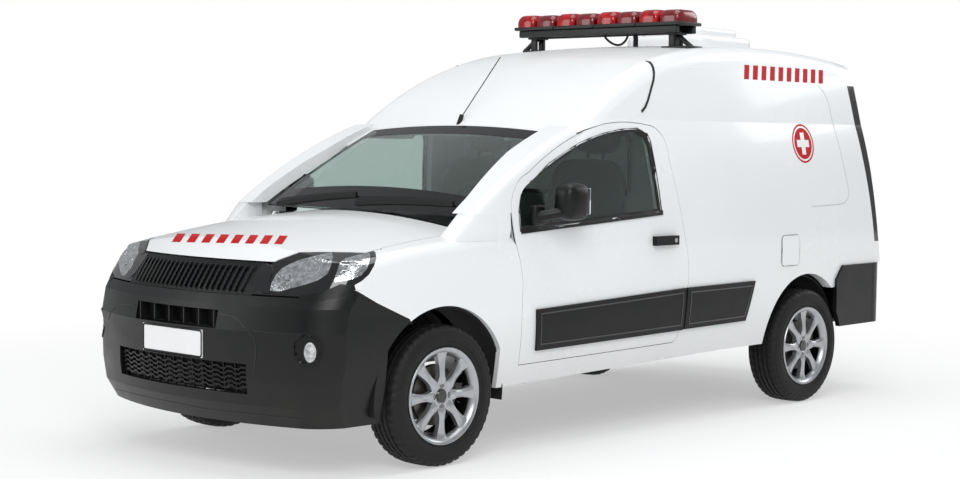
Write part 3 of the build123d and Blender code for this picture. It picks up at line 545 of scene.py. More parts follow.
def border(corners, width):
    """A frame of even width inside a four-cornered outline."""
    mid_u = sum(u for u, _ in corners) / len(corners)
    mid_v = sum(v for _, v in corners) / len(corners)
    inner = [(u - math.copysign(width, u - mid_u), v - math.copysign(width, v - mid_v)) for u, v in corners]
    return [corners, inner]


def ring_points(u, v, r, n=40, squash=1.0):
    """Points round a circle, or round an ellipse squashed along v."""
    turns = [2 * math.pi * i / n for i in range(n)]
    return [(u + r * math.cos(w), v + squash * r * math.sin(w)) for w in turns]


def stroke(points, width):
    """Outline of a line of even width through points."""
    left, right = [], []
    for i, (u, v) in enumerate(points):
        a, b = points[max(i - 1, 0)], points[min(i + 1, len(points) - 1)]
        d = math.hypot(b[0] - a[0], b[1] - a[1])
        nu, nv = -(b[1] - a[1]) / d, (b[0] - a[0]) / d
        left.append((u + nu * width / 2, v + nv * width / 2))
        right.append((u - nu * width / 2, v - nv * width / 2))
    return left + right[::-1]


def rounded_box(u0, u1, v0, v1, r, n=6):
    """Outline of a rectangle with round corners."""
    points = []
    for cu, cv, a in ((u1 - r, v1 - r, 0), (u0 + r, v1 - r, 90), (u0 + r, v0 + r, 180),
                      (u1 - r, v0 + r, 270)):
        for i in range(n + 1):
            w = math.radians(a + 90 * i / n)
            points.append((cu + r * math.cos(w), cv + r * math.sin(w)))
    return points


def millimetres(loop):
    """A loop given in millimetres, in metres."""
    return [(x / 1000, r / 1000) for x, r in loop]


# ------------------------------------------------------------ settings
class AmbulanceSettings(bpy.types.PropertyGroup):
    """Sizes of the repeated trims, and the colours of the panels and markings."""
    spokes: bpy.props.IntProperty(name="Spokes", description="Spokes of each road wheel", default=8, min=5,
                                  max=20)
    bolts: bpy.props.IntProperty(name="Wheel bolts", description="Bolts of each road wheel", default=4, min=3,
                                 max=8)
    grille_bars: bpy.props.IntProperty(name="Grille bars", description="Upright bars of the grille",
                                       default=23, min=5, max=60)
    bar_pitch: bpy.props.FloatProperty(name="Bar pitch", description="Distance between grille bars",
                                       default=0.0325, unit="LENGTH")
    tread_depth: bpy.props.FloatProperty(name="Tread depth", description="Depth of the tyre grooves",
                                         default=0.007, unit="LENGTH")
    dash_width: bpy.props.FloatProperty(name="Dash width", description="Width of each red side dash",
                                        default=0.044, unit="LENGTH")
    body_colour: bpy.props.FloatVectorProperty(name="Body colour",
                                               description="Enamel of the panels and doors", subtype="COLOR",
                                               size=4, min=0.0, max=1.0,
                                               default=linear(FINISHES["white_baked_enamel"]["base"]))
    marking_colour: bpy.props.FloatVectorProperty(name="Marking colour", description="Vinyl of the markings",
                                                  subtype="COLOR", size=4, min=0.0, max=1.0,
                                                  default=linear(FINISHES["red_vinyl"]["base"]))


NODE_FINISH = {
    "white_gel_coat": ("box_roof", "cab_roof", "roof_ventilator"),
    "white_baked_enamel": ("side_panel_left", "side_panel_right", "bonnet", "fender_left", "fender_right",
                           "rear_frame", "rear_door_left", "rear_door_right", "door_left", "door_right",
                           "fuel_flap"),
    "lacquered_board": ("bulkhead",),
    "grained_polypropylene": ("front_bumper", "rear_bumper", "door_mirror_left", "door_mirror_right"),
    "black_grained_polypropylene": ("side_strips", "door_strip_left", "door_strip_right", "aerial", "wipers",
                                    "door_handle_left", "door_handle_right", "grille", "cowl"),
    "gloss_black_acrylic": ("headlamp_left", "headlamp_right"),
    "black_powder_coat": ("lightbar_base", "exhaust"),
    "underbody_wax": ("floor_pan", "front_structure", "front_subframe", "rear_axle", "fuel_tank",
                      "wheel_tubs", "load_floor"),
    "cast_aluminium_dull": ("engine_block",),
    "machined_cast_iron": ("knuckle_left", "knuckle_right"),
    "tinted_glass": ("windscreen", "door_glass_left", "door_glass_right"),
    "smoked_acrylic": ("tail_lamps",),
    "red_polycarbonate": ("lightbar_lenses",),
    "metallised_reflector": ("fog_lamps",),
    "white_reflective_sheet": ("number_plate",),
    "cabin_plastic": ("dashboard", "steering_wheel"),
    "seat_cloth": ("seats",),
    "tyre_rubber": ("tyre_front_left", "tyre_front_right", "tyre_rear_left", "tyre_rear_right"),
    "silver_lacquered_alloy": ("rim_front_left", "rim_front_right", "rim_rear_left", "rim_rear_right"),
}


class AMBULANCE_OT_finishes(bpy.types.Operator):
    """Gives every CAD solid its real finish"""
    bl_idname = "ambulance.finishes"
    bl_label = "Finishes"

    def execute(self, context):
        for finish_name, names in NODE_FINISH.items():
            for name in names:
                if name not in NODES:
                    raise RuntimeError("no node " + name)
                mesh = NODES[name].data
                mesh.materials.clear()
                mesh.materials.append(paint(finish_name))
        return {"FINISHED"}


def tyre_profile(depth):
    """Closed (x, r) loop: beads, ribbed sidewalls, four grooves in the tread."""
    outer = [(-80, 190.4), (-80.2, 206), (-85, 214), (-84.5, 217), (-88, 224), (-88.5, 231), (-91.5, 233),
             (-92.4, 242), (-92.5, 250), (-91, 262), (-88.5, 271), (-89, 275), (-86, 281), (-81, 288),
             (-76, 294), (-69, 298)]
    tread = []
    for x in (-41, -14, 14, 41):
        crown = 301.4 - 2.4 * (x / 66) ** 2
        tread += [(x - 6, crown), (x - 4, crown - depth * 1000), (x + 4, crown - depth * 1000),
                  (x + 6, crown)]
    inner = [(58, 190.4), (66, 240), (40, 276), (0, 284), (-40, 276), (-66, 240), (-58, 190.4)]
    return millimetres(outer + tread + [(-x, r) for x, r in reversed(outer)] + inner)


class AMBULANCE_OT_tyres(bpy.types.Operator):
    """Road tyres with grooves, shoulder blocks and ribbed sidewalls"""
    bl_idname = "ambulance.tyres"
    bl_label = "Tyres"

    def execute(self, context):
        depth = context.scene.ambulance.tread_depth
        steps, shoulder_cut, sipe_cut = 240, 0.0045, 0.003

        def blocks(i, x, r):
            """Cuts the shoulder's blocks and the tread's sipes at step i."""
            if abs(x) > 0.046 and r > 0.286 and i % 5 < 2:
                r -= shoulder_cut
            if abs(x) < 0.04 and r > 0.299 and (i + int(abs(x) * 200)) % 6 == 0:
                r -= sipe_cut
            return x, r

        for end, y in (("front", FRONT_AXLE), ("rear", REAR_AXLE)):
            for side, s in (("left", 1), ("right", -1)):
                corner = end + "_" + side
                mesh = moved(turned("tyre", tyre_profile(depth), steps, blocks), (s * WHEEL_X, y, AXLE_Z))
                obj = piece("tread_" + corner, mesh, "tyre_rubber", "wheel_" + corner, 35)
                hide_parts("tyre_" + corner)
        return {"FINISHED"}


def spoke_mesh():
    """One spoke along +Z: it flares towards the rim, and its front is dished along the middle."""
    # radius, half width, front and back of each section
    rows = [(0.040, 0.0200, 0.068, 0.046), (0.058, 0.0245, 0.074, 0.046), (0.070, 0.0225, 0.076, 0.047),
            (0.084, 0.0175, 0.077, 0.048), (0.105, 0.0160, 0.076, 0.048), (0.130, 0.0180, 0.074, 0.048),
            (0.155, 0.0225, 0.072, 0.046), (0.174, 0.0280, 0.073, 0.042), (0.186, 0.0340, 0.078, 0.040),
            (0.191, 0.0380, 0.081, 0.040)]
    edge, shoulder, dish = 0.006, 0.0045, 0.0012
    rings = []
    for r, half, front, back in rows:
        section = [(back, -half), (back + edge, -half), (front - shoulder, -half * 0.97),
                   (front, -half * 0.55), (front - dish, 0.0), (front, half * 0.55),
                   (front - shoulder, half * 0.97), (back + edge, half), (back, half)]
        rings.append([(x, w, r) for x, w in section])
    return lofted("spoke", rings)


class AMBULANCE_OT_rims(bpy.types.Operator):
    """Cast wheels with flared spokes, brake discs, bolts and plain caps; black rings round the bolts and a
    black lining in the barrel are painted shade
    """
    bl_idname = "ambulance.rims"
    bl_label = "Wheels"

    def execute(self, context):
        settings = context.scene.ambulance
        # loops of (x, r) in millimetres
        barrel = [(-87, 206), (-80.5, 206), (-80.4, 189.7), (-55, 184), (20, 176), (60, 184), (80.4, 189.7),
                  (80.5, 206), (85, 207), (88, 205), (88, 200), (84, 193), (78, 186), (60, 177), (20, 170),
                  (-55, 178), (-80, 184), (-86, 198)]
        hub = [(40, 0.5), (40, 60), (62, 62), (69, 58), (69.5, 36), (66, 31), (66, 0.5)]
        cap = [(60, 0.4), (60, 29), (69, 29), (72, 26), (73, 20), (72.4, 18), (73.6, 12), (74, 0.4)]
        disc = [(4, 45), (4, 128), (9, 130), (21, 130), (26, 128), (26, 45)]
        bolt = [(58, 0.3), (58, 9), (66, 9), (69, 7.6), (70.5, 5), (70.5, 0.3)]
        # black rings round the bolts: painted shade of the bolt holes
        bolt_hole_shade = [(66, 9.5), (66, 14), (70.2, 14), (70.2, 9.5)]
        # black lining inside the barrel: painted shade behind the spokes
        liner = [(-60, 168), (-60, 171), (20, 168.5), (58, 175), (58, 172), (20, 165)]
        bolt_circle = Matrix.Translation((0, 0, 0.049))
        bolt_turn = 2 * math.pi / settings.bolts
        for end, y in (("front", FRONT_AXLE), ("rear", REAR_AXLE)):
            for side, s in (("left", 1), ("right", -1)):
                corner, place = end + "_" + side, (s * WHEEL_X, y, AXLE_Z)
                body = "wheel_" + corner
                spokes = repeated(spoke_mesh(), settings.spokes, turn=2 * math.pi / settings.spokes,
                                  finish_name="silver_lacquered_alloy")
                rim = joined("rim", [turned("barrel", millimetres(barrel), 96),
                                     turned("hub", millimetres(hub), 64), spokes])
                obj = piece("cast_wheel_" + corner, moved(rim, place, s < 0), "silver_lacquered_alloy", body,
                            35)
                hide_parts("rim_" + corner)
                mesh = moved(turned("disc", millimetres(disc), 72), place, s < 0)
                piece("brake_disc_" + corner, mesh, "machined_cast_iron", body, 30)
                one = turned("bolt", millimetres(bolt), 12)
                one.transform(bolt_circle)
                bolts = repeated(one, settings.bolts, turn=bolt_turn, finish_name="machined_cast_iron")
                piece("wheel_bolts_" + corner, moved(bolts, place, s < 0), "machined_cast_iron", body,
                      30)
                one = turned("bolt_hole_shade", millimetres(bolt_hole_shade), 24)
                one.transform(bolt_circle)
                # the black cap, with the painted shade round the bolts and inside the barrel
                mesh = joined("dark", [turned("cap", millimetres(cap), 48),
                                       repeated(one, settings.bolts, turn=bolt_turn),
                                       turned("liner", millimetres(liner), 96)])
                piece("cap_and_painted_shade_" + corner, moved(mesh, place, s < 0), "gloss_black_acrylic", body,
                      30)
        return {"FINISHED"}


def bowed(mesh, z_low, y_low, z_high, y_high, radius=1.7):
    """Leans and bows a flat row of bars, drawn at y = 0, along the nose."""
    for v in mesh.vertices:
        t = (v.co.z - z_low) / (z_high - z_low)
        v.co.y += y_low + t * (y_high - y_low) + v.co.x ** 2 / (2 * radius)
    return mesh


class AMBULANCE_OT_grille(bpy.types.Operator):
    """Upright bars of the grille, the bumper's mesh, intake bars and creases, and the number plate's rim;
    black plates behind the openings and dark strips along the bumper's creases are painted shade
    """
    bl_idname = "ambulance.grille"
    bl_label = "Grille and bumper openings"

    def execute(self, context):
        settings = context.scene.ambulance
        pitch, count = settings.bar_pitch, settings.grille_bars
        # each bar is cogged: its front edge steps from side to side up its height
        rows, z_low, z_high, cog = 12, 0.757, 0.856, 0.002
        rings = []
        for i in range(rows + 1):
            z = z_low + (z_high - z_low) * i / rows
            step = cog if i % 2 else -cog
            rings.append([(x + (step if y else 0), y, z)
                          for x, y in ((-0.006, 0.0), (-0.004, -0.011), (0.004, -0.011), (0.006, 0.0))])
        one = lofted("bar", rings)
        one.transform(Matrix.Translation((-pitch * (count - 1) / 2, 0, 0)))
        bars = repeated(one, count, (pitch, 0, 0), finish_name="gloss_black_acrylic")
        piece("grille_bars", bowed(bars, 0.780, -2.1262, 0.830, -2.0932), "gloss_black_acrylic", "body",
              30)
        # lower mesh: wavy crossbars on uprights, ahead of a dark backing plate that is painted shade behind
        # the openings
        columns, half_length, lowest, wave = 72, 0.428, 0.368, 0.0045
        rings = []
        for i in range(columns + 1):
            x = -half_length + 2 * half_length * i / columns
            lift = wave * (1 if (i // 3) % 2 else -1)
            rings.append([(x, y, z + lift + lowest)
                          for y, z in ((0, -0.006), (-0.012, -0.004), (-0.012, 0.004), (0, 0.006))])
        one = lofted("wave", rings)
        waves = repeated(one, 5, (0, 0, 0.0195), finish_name="black_grained_polypropylene")
        post = bevelled_box("post", (-0.420, -0.008, 0.345), (-0.414, 0.004, 0.468), 0.001, 1)
        posts = repeated(post, 15, (0.0596, 0, 0), finish_name="black_grained_polypropylene")
        mesh = bowed(joined("mesh_insert", [waves, posts]), 0.35, -2.160, 0.47, -2.172)
        piece("lower_mesh", mesh, "black_grained_polypropylene", "body", 30)
        # black plates behind the lower mesh and the upper opening: painted shade behind the openings, with
        # fins before the upper one
        shade_backs = [bevelled_box("back", (-0.44, -2.10, 0.335), (0.44, -2.085, 0.475), 0.003, 1),
                 bevelled_box("back", (-0.29, -2.12, 0.595), (0.29, -2.105, 0.683), 0.003, 1)]
        fins = bevelled_box("fin", (-0.25, -2.165, 0.604), (-0.244, -2.118, 0.674), 0.001, 1)
        shade_backs.append(repeated(fins, 6, (0.1, 0, 0), finish_name="black_powder_coat"))
        piece("intake_fins_and_shade_backing", joined("intake_fins_and_shade_backing", shade_backs), "black_powder_coat", "body",
              30)
        rim = laid("plate_rim", ["number_plate"], [[rounded_box(-0.2, 0.2, 0.475, 0.590, 0.012),
                                                    rounded_box(-0.193, 0.193, 0.482, 0.583, 0.008)]],
                   front_ray, 0.0012, 0.1)
        piece("plate_rim", rim, "black_grained_polypropylene", "body", 30)
        # thin strips of another black along the bumper's creases: painted shade in the creases
        creases = [stroke([(108, 320), (110.5, 312), (116, 306), (124, 304.5), (135, 304.6)], 0.9),
                   stroke([(220, 314), (231, 316), (239, 320), (247, 330), (254.5, 338), (256, 352),
                           (254, 372)], 1.1),
                   stroke([(253, 331.2), (282, 333.6), (312, 334.2)], 0.8),
                   stroke([(110, 388), (150, 398), (205, 409), (250, 414), (300, 419)], 0.8)]
        mesh = laid("bumper_crease_shade", ["front_bumper"], creases, eye_ray, 0.0012, 3.0)
        piece("bumper_crease_shade", mesh, "black_powder_coat", "body", 30)
        return {"FINISHED"}


class AMBULANCE_OT_lamps(bpy.types.Operator):
    """Reflectors, bowls and surrounds of the headlamps, fog lamp bezels and the tail lamps' bands"""
    bl_idname = "ambulance.lamps"
    bl_label = "Lamps"

    def execute(self, context):
        main = [(270, 290.5), (271.5, 283.5), (276, 275), (282, 268.5), (292, 263), (303, 259), (318, 255.3),
                (331.5, 252.4), (333, 257), (331, 266), (327.5, 274), (318, 280.5), (306, 284.5),
                (294, 287.6), (279, 291.8)]
        turn = [(334, 282.5), (337, 271), (340, 263), (345.5, 258.5), (358, 255), (369.5, 252.6),
                (370.2, 259), (367, 268.5), (361, 275.5), (352, 279.5)]
        mesh = laid("reflectors", ["headlamp_left"], [main, turn], eye_ray, 0.0012, 3.0, both_sides=True)
        piece("headlamp_reflectors", mesh, "metallised_reflector", "body", 30)
        # three lamp bowls, drawn as rings with a bright middle
        rings = []
        for (u, v, r) in ((287, 277.5, 6.0), (312, 267.5, 7.5), (353, 267.5, 5.0)):
            rings.append([ring_points(u, v, r, 28, 0.9), ring_points(u, v, r * 0.8, 28, 0.9)])
            rings.append(ring_points(u, v, r * 0.33, 16, 0.9))
        mesh = laid("bowls", ["headlamp_left"], rings, eye_ray, 0.0030, 2.0, 0.0, both_sides=True)
        piece("headlamp_bowls", mesh, "silver_lacquered_alloy", "body", 30)
        bezel = [[ring_points(309, 350.5, 15.0, 40, 1.12), ring_points(310, 352.5, 6.3, 40, 1.6)]]
        mesh = laid("fog_bezel", ["front_bumper", "fog_lamps"], bezel, eye_ray, 0.004, 2.0, both_sides=True)
        piece("fog_bezels", mesh, "black_grained_polypropylene", "body", 30)
        outer = [(384, 249.5), (391, 256), (393, 272), (386, 281), (375, 286), (366, 289), (356, 292),
                 (354.5, 285.2), (362, 281), (369, 274.5), (374, 266), (376.5, 258), (375, 250.5), (370, 246)]
        mesh = laid("lamp_corner", ["headlamp_left", "fender_left"], [outer], eye_ray, 0.0015, 2.0,
                    both_sides=True)
        piece("lamp_corners", mesh, "white_baked_enamel", "body", 40)
        under = [(298, 296.5), (308, 299.5), (322, 300.5), (338, 297.5), (356, 289.5), (354, 285.6),
                 (340, 284.2), (322, 292.5), (308, 294.2)]
        mesh = laid("lamp_sill", ["headlamp_left", "fender_left", "front_bumper"], [under], eye_ray, 0.0015,
                    2.0, both_sides=True)
        piece("lamp_sills", mesh, "black_grained_polypropylene", "body", 40)
        inner = [(253.3, 284.4), (255.6, 273.3), (264.4, 262.2), (271, 260), (273, 270), (270, 281),
                 (270.5, 293), (262, 293.3), (257.0, 291.5)]
        mesh = laid("lamp_inner", ["headlamp_left", "grille", "front_bumper"], [inner], eye_ray, 0.0022, 2.0,
                    both_sides=True)
        piece("lamp_inner_bezels", mesh, "gloss_black_acrylic", "body", 40)
        bands = []
        for z0, z1 in ((1.05, 1.16), (1.19, 1.30)):
            bands.append([(0.66, z0), (0.80, z0), (0.80, z1), (0.66, z1)])
        mesh = laid("bands", ["tail_lamps"], bands, rear_ray, 0.001, 0.03, both_sides=True)
        piece("tail_lamp_bands", mesh, "metallised_reflector", "body", 30)
        return {"FINISHED"}


class AMBULANCE_OT_lightbar(bpy.types.Operator):
    """Four beacon modules with ribbed domes on a black twin-rail base, with the cable to the roof"""
    bl_idname = "ambulance.lightbar"
    bl_label = "Light bar"

    def execute(self, context):
        low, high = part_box("lightbar_lenses")
        front, rear, foot, top = low.y + 0.030, high.y - 0.040, low.z - 0.006, high.z - 0.006
        mid = (front + rear) / 2
        modules, first, pitch, length, seam = 4, -0.555, 0.2795, 0.2715, 0.004
        domes, darks, trays = [], [], []
        for k in range(modules):
            x0 = first + k * pitch
            x1 = x0 + length
            split = x0 + 0.50 * (x1 - x0)
            darks.append(dome_mesh(split - seam, x1, front + seam, rear - seam, foot, top - 0.003))
            domes.append(dome_mesh(x0, split, front, rear, foot, top))
            trays.append(bevelled_box("tray", (x0 - 0.002, front - seam, foot - 0.014),
                                      (x1 + 0.002, rear + seam, foot + 0.003), 0.004))
        obj = piece("beacon_domes", joined("domes", domes), "red_polycarbonate", "body", 50)
        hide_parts("lightbar_lenses")
        piece("beacon_outer_domes", joined("darks", darks), "dark_red_polycarbonate", "body", 50)
        half_rail, stand_x = 0.535, 0.470
        rails = [bevelled_box("rail", (-half_rail, y, foot - 0.052), (half_rail, y + 0.030, foot - 0.014),
                              0.006)
                 for y in (front + 0.010, rear - 0.040)]
        feet = []
        for s in (1, -1):
            x = s * stand_x
            outer = x + 0.125 if s > 0 else x + 0.05
            feet.append(bevelled_box("arm", (x - 0.035, front + 0.05, foot - 0.060),
                                     (x + 0.035, rear - 0.05, foot - 0.046), 0.003))
            for y in (front + 0.055, rear - 0.075):
                feet.append(bevelled_box("leg", (x - 0.018, y, 1.846), (x + 0.018, y + 0.020, foot - 0.050),
                                         0.004))
            feet.append(tube("brace", [(x + s * 0.10, mid, 1.852), (x, mid, foot - 0.052)], 0.013, 12))
            feet.append(bevelled_box("shoe", (x - 0.05, front + 0.035, 1.842), (outer, rear - 0.035, 1.858),
                                     0.004))
        obj = piece("beacon_carrier", joined("carrier", trays + rails + feet), "black_powder_coat", "body",
                    40)
        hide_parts("lightbar_base")
        arc = []
        for i in range(15):
            t = i / 14
            arc.append((0.02 + 0.16 * t, mid - 0.03 + 0.02 * math.sin(3 * t),
                        foot - 0.050 - 0.052 * math.sin(math.pi * t) ** 0.7))
        stand = tube("stand", [(0.205, mid, foot - 0.05), (0.208, mid, 1.905), (0.200, mid + 0.01, 1.862)],
                     0.013, 16)
        piece("lightbar_cable", joined("cable", [tube("cable", arc, 0.006), stand]), "seal_rubber", "body",
              50)
        return {"FINISHED"}


def dome_mesh(x0, x1, y0, y1, z0, z1):
    """A moulded dome: a low skirt, then facets that draw in to a flat crown."""
    rows, sides = 9, 40
    rings = []
    for i in range(rows + 1):
        t = i / rows
        inset = 0.002 + 0.036 * max(0, (t - 0.35) / 0.65) ** 1.5
        z = z0 + (z1 - z0) * (1.25 * t if t < 0.6 else 0.75 + 0.25 * math.sin((t - 0.6) / 0.4 * math.pi / 2))
        ring = []
        for k in range(sides):
            a = 2 * math.pi * k / sides
            c, s = math.cos(a), math.sin(a)
            c, s = math.copysign(abs(c) ** 0.35, c), math.copysign(abs(s) ** 0.5, s)
            ring.append(((x0 + x1) / 2 + c * ((x1 - x0) / 2 - inset * 0.7),
                         (y0 + y1) / 2 + s * ((y1 - y0) / 2 - inset), z))
        rings.append(ring)
    return lofted("dome", rings)


def spread(outline, rear, front, up):
    """Moves a window outline's points outwards at its rear and front ends and its top and bottom."""
    mid_y, mid_z, fade_y = -0.40, 1.19, -0.42
    return [(y + (rear if y > mid_y else -front) * min(1, abs(y - fade_y) * 6),
             z + (up if z > mid_z else -up))
            for y, z in outline]


class AMBULANCE_OT_glazing(bpy.types.Operator):
    """Printed border of the windscreen and the seals of the cab doors' windows"""
    bl_idname = "ambulance.glazing"
    bl_label = "Glazing borders"

    def execute(self, context):
        foot = [(x, -1.179 + 0.062 * (x / 0.702) ** 2) for x in (0.652, 0.55, 0.44, 0.33, 0.22, 0.11)]
        foot += [(0, -1.179)] + [(-x, y) for x, y in reversed(foot)]
        outer = [(-0.612, -0.80), (-0.595, -0.524), (0.595, -0.524), (0.612, -0.80)] + foot
        inner = [(-0.565, -0.80), (-0.545, -0.60), (0.545, -0.60), (0.565, -0.80), (0.600, -1.035),
                 (-0.600, -1.035)]
        mesh = laid("frit", ["windscreen"], [[outer, inner]], top_ray, 0.0008, 0.05, 0.0)
        piece("windscreen_border", mesh, "ceramic_frit", "body", 40)
        window = [(-0.930, 0.987), (0.051, 1.046), (0.014, 1.372), (-0.004, 1.408), (-0.075, 1.434),
                  (-0.20, 1.427), (-0.320, 1.408), (-0.43, 1.382), (-0.540, 1.345), (-0.72, 1.268),
                  (-0.860, 1.190), (-0.915, 1.145), (-0.934, 1.080)]
        seal = [spread(window, 0.006, 0.006, 0.007), spread(window, -0.010, -0.012, -0.012)]
        for side in ("left", "right"):
            mesh = laid("seal", ["door_left", "door_glass_left"], [seal], side_ray, 0.0035, 0.03, 0.001)
            piece("window_seal_" + side, mirrored(mesh, side == "right"), "seal_rubber", "cab_door_" + side,
                  40)
        return {"FINISHED"}


class AMBULANCE_OT_seals(bpy.types.Operator):
    """Seals in the cab doors' shut lines, belt mouldings under their windows and the cab roof's seal"""
    bl_idname = "ambulance.seals"
    bl_label = "Door and roof seals"

    def execute(self, context):
        shut = through([(-929, 410), (-928, 755), (-939, 850)], [(-939, 850), (-974, 970), (-986, 1085)],
                       [(-986, 1085), (-955, 1170), (-860, 1236)], [(-860, 1236), (-570, 1383), (-300, 1458)],
                       [(-300, 1458), (-140, 1468), (20, 1456)], [(20, 1456), (115, 1410), (146, 1300)],
                       [(146, 1300), (194, 1095)], [(241, 895), (268, 720), (207, 462)],
                       [(207, 462), (190, 424), (150, 408)], [(150, 408), (-929, 391)])
        shut = [shut[0]] + [b for a, b in zip(shut, shut[1:]) if math.dist(a, b) > 0.001]
        skin = surface_of(["door_left"])
        # the seal lies in the shut line between two depths under the skin, found a little inside the door
        half, shallow, deep, inside = 0.0016, 0.003, 0.007, 0.010
        door_mid = (-0.40, 0.93)
        rings = []
        for i, (u, v) in enumerate(shut):
            a, b = shut[max(i - 1, 0)], shut[min(i + 1, len(shut) - 1)]
            d = math.dist(a, b)
            nu, nv = -(b[1] - a[1]) / d, (b[0] - a[0]) / d
            if nu * (u - door_mid[0]) + nv * (v - door_mid[1]) > 0:
                nu, nv = -nu, -nv
            hit = skin.ray_cast(*side_ray(u + nu * inside, v + nv * inside))[0]
            hit = hit or skin.find_nearest(Vector((0.8, u, v)))[0]
            rings.append([(hit.x - depth, u + w * nu, v + w * nv)
                          for depth, w in ((shallow, -half), (shallow, half), (deep, half), (deep, -half))])
        mesh = lofted("door_seal", rings)
        mesh = joined("door_seals", [mirrored(mesh.copy()), mesh])
        piece("door_opening_seals", mesh, "seal_rubber", "body", 40)
        for side in ("left", "right"):
            belt = [stroke([(-0.930, 0.981), (-0.60, 1.0005), (-0.20, 1.0245), (0.060, 1.041)], 0.022)]
            mesh = laid("belt", ["door_left", "door_glass_left"], belt, side_ray, 0.006, 0.05, 0.0)
            piece("belt_moulding_" + side, mirrored(mesh, side == "right"), "seal_rubber", "cab_door_" + side,
                  40)
        seam = [(-0.017, 1.517), (0.015, 1.540), (0.042, 1.574), (0.075, 1.628), (0.101, 1.671),
                (0.122, 1.721), (0.140, 1.762)]
        mesh = laid("roof_seal", ["side_panel_left", "cab_roof", "box_roof"], [stroke(seam, 0.012)], side_ray,
                    0.003, 0.02, both_sides=True)
        piece("roof_seal", mesh, "seal_rubber", "body", 40)
        return {"FINISHED"}


class AMBULANCE_OT_markings(bpy.types.Operator):
    """Red vinyl roundel and slanted dashes, borders of the strips and flap, and the pressed panel line's
    painted shade
    """
    bl_idname = "ambulance.markings"
    bl_label = "Markings"

    def execute(self, context):
        width = context.scene.ambulance.dash_width
        spot = surface_of(["side_panel_left"]).ray_cast(*eye_ray(803, 143.5))[0]
        y, z, r, sides = spot.y, spot.z, 0.1025, 56
        ring = [ring_points(y, z, r, sides), ring_points(y, z, r - 0.010, sides)]
        arm, half = 0.058, 0.019  # of the white cross left open in the disc
        cross = [(y - half, z - arm), (y + half, z - arm), (y + half, z - half), (y + arm, z - half),
                 (y + arm, z + half), (y + half, z + half), (y + half, z + arm), (y - half, z + arm),
                 (y - half, z + half), (y - arm, z + half), (y - arm, z - half), (y - half, z - half)]
        disc = [ring_points(y, z, r - 0.020, sides), cross]
        outlines = [ring, disc]
        side_dashes, first, pitch, slant, z_low, z_high = 10, 0.860, 0.079, 0.020, 1.700, 1.774
        for i in range(side_dashes):
            at = first + i * pitch
            outlines.append([(at, z_low), (at + width, z_low), (at + width + slant, z_high),
                             (at + slant, z_high)])
        targets = ["side_panel_left", "box_roof"]
        mesh = laid("markings", targets, outlines, side_ray, 0.0006, 0.03, 0.0002, both_sides=True)
        piece("side_markings", mesh, "red_vinyl", "body", 30)
        flap = [rounded_box(1.0685, 1.2395, 0.7365, 0.8995, 0.026),
                rounded_box(1.0715, 1.2365, 0.7395, 0.8965, 0.024)]
        mesh = laid("flap_gap", ["side_panel_left", "fuel_flap"], [flap], side_ray, 0.0008, 0.05, 0.0)
        piece("fuel_flap_gap", mesh, "seal_rubber", "body", 30)
        groove = [(-0.806, 0.474), (0.208, 0.490), (0.217, 0.652), (-0.812, 0.617)]
        for side in ("left", "right"):
            mesh = laid("groove", ["door_strip_left"], [border(groove, 0.006)], side_ray, 0.0015, 0.05, 0.0)
            piece("strip_border_" + side, mirrored(mesh, side == "right"), "gloss_black_acrylic",
                  "cab_door_" + side, 40)
        groove = [(0.266, 0.492), (0.738, 0.498), (0.797, 0.655), (0.274, 0.652)]
        mesh = laid("groove", ["side_strips"], [border(groove, 0.006)], side_ray, 0.0015, 0.05, 0.0,
                    both_sides=True)
        piece("strip_borders", mesh, "gloss_black_acrylic", "body", 40)
        bonnet_dashes, dashes = 8, []
        for i in range(bonnet_dashes):
            u, v = 172 + 14.6 * i, 241.9 + 0.30 * i
            dashes.append([(u, v), (u + 8, v + 0.2), (u + 13.5, v - 8.0), (u + 5.5, v - 8.2)])
        mesh = laid("bonnet_markings", ["bonnet"], dashes, eye_ray, 0.0016, 1.0, 0.0002)
        piece("bonnet_markings", mesh, "red_vinyl", "bonnet_lid", 30)
        # a grey strip laid on the side panel: painted shade of the pressed panel line
        line = [(1.560, 1.690), (1.600, 1.664), (1.632, 1.632), (1.648, 1.600), (1.700, 1.365),
                (1.748, 1.150), (1.752, 1.108), (1.738, 1.076), (1.700, 1.056), (1.641, 1.048),
                (1.480, 1.044), (1.362, 1.043)]
        mesh = laid("panel_groove_shade", ["side_panel_left"], [stroke(line, 0.005)], side_ray, 0.0007, 0.03,
                    both_sides=True)
        piece("pressed_panel_line_shade", mesh, "panel_shadow_enamel", "body", 30)
        return {"FINISHED"}


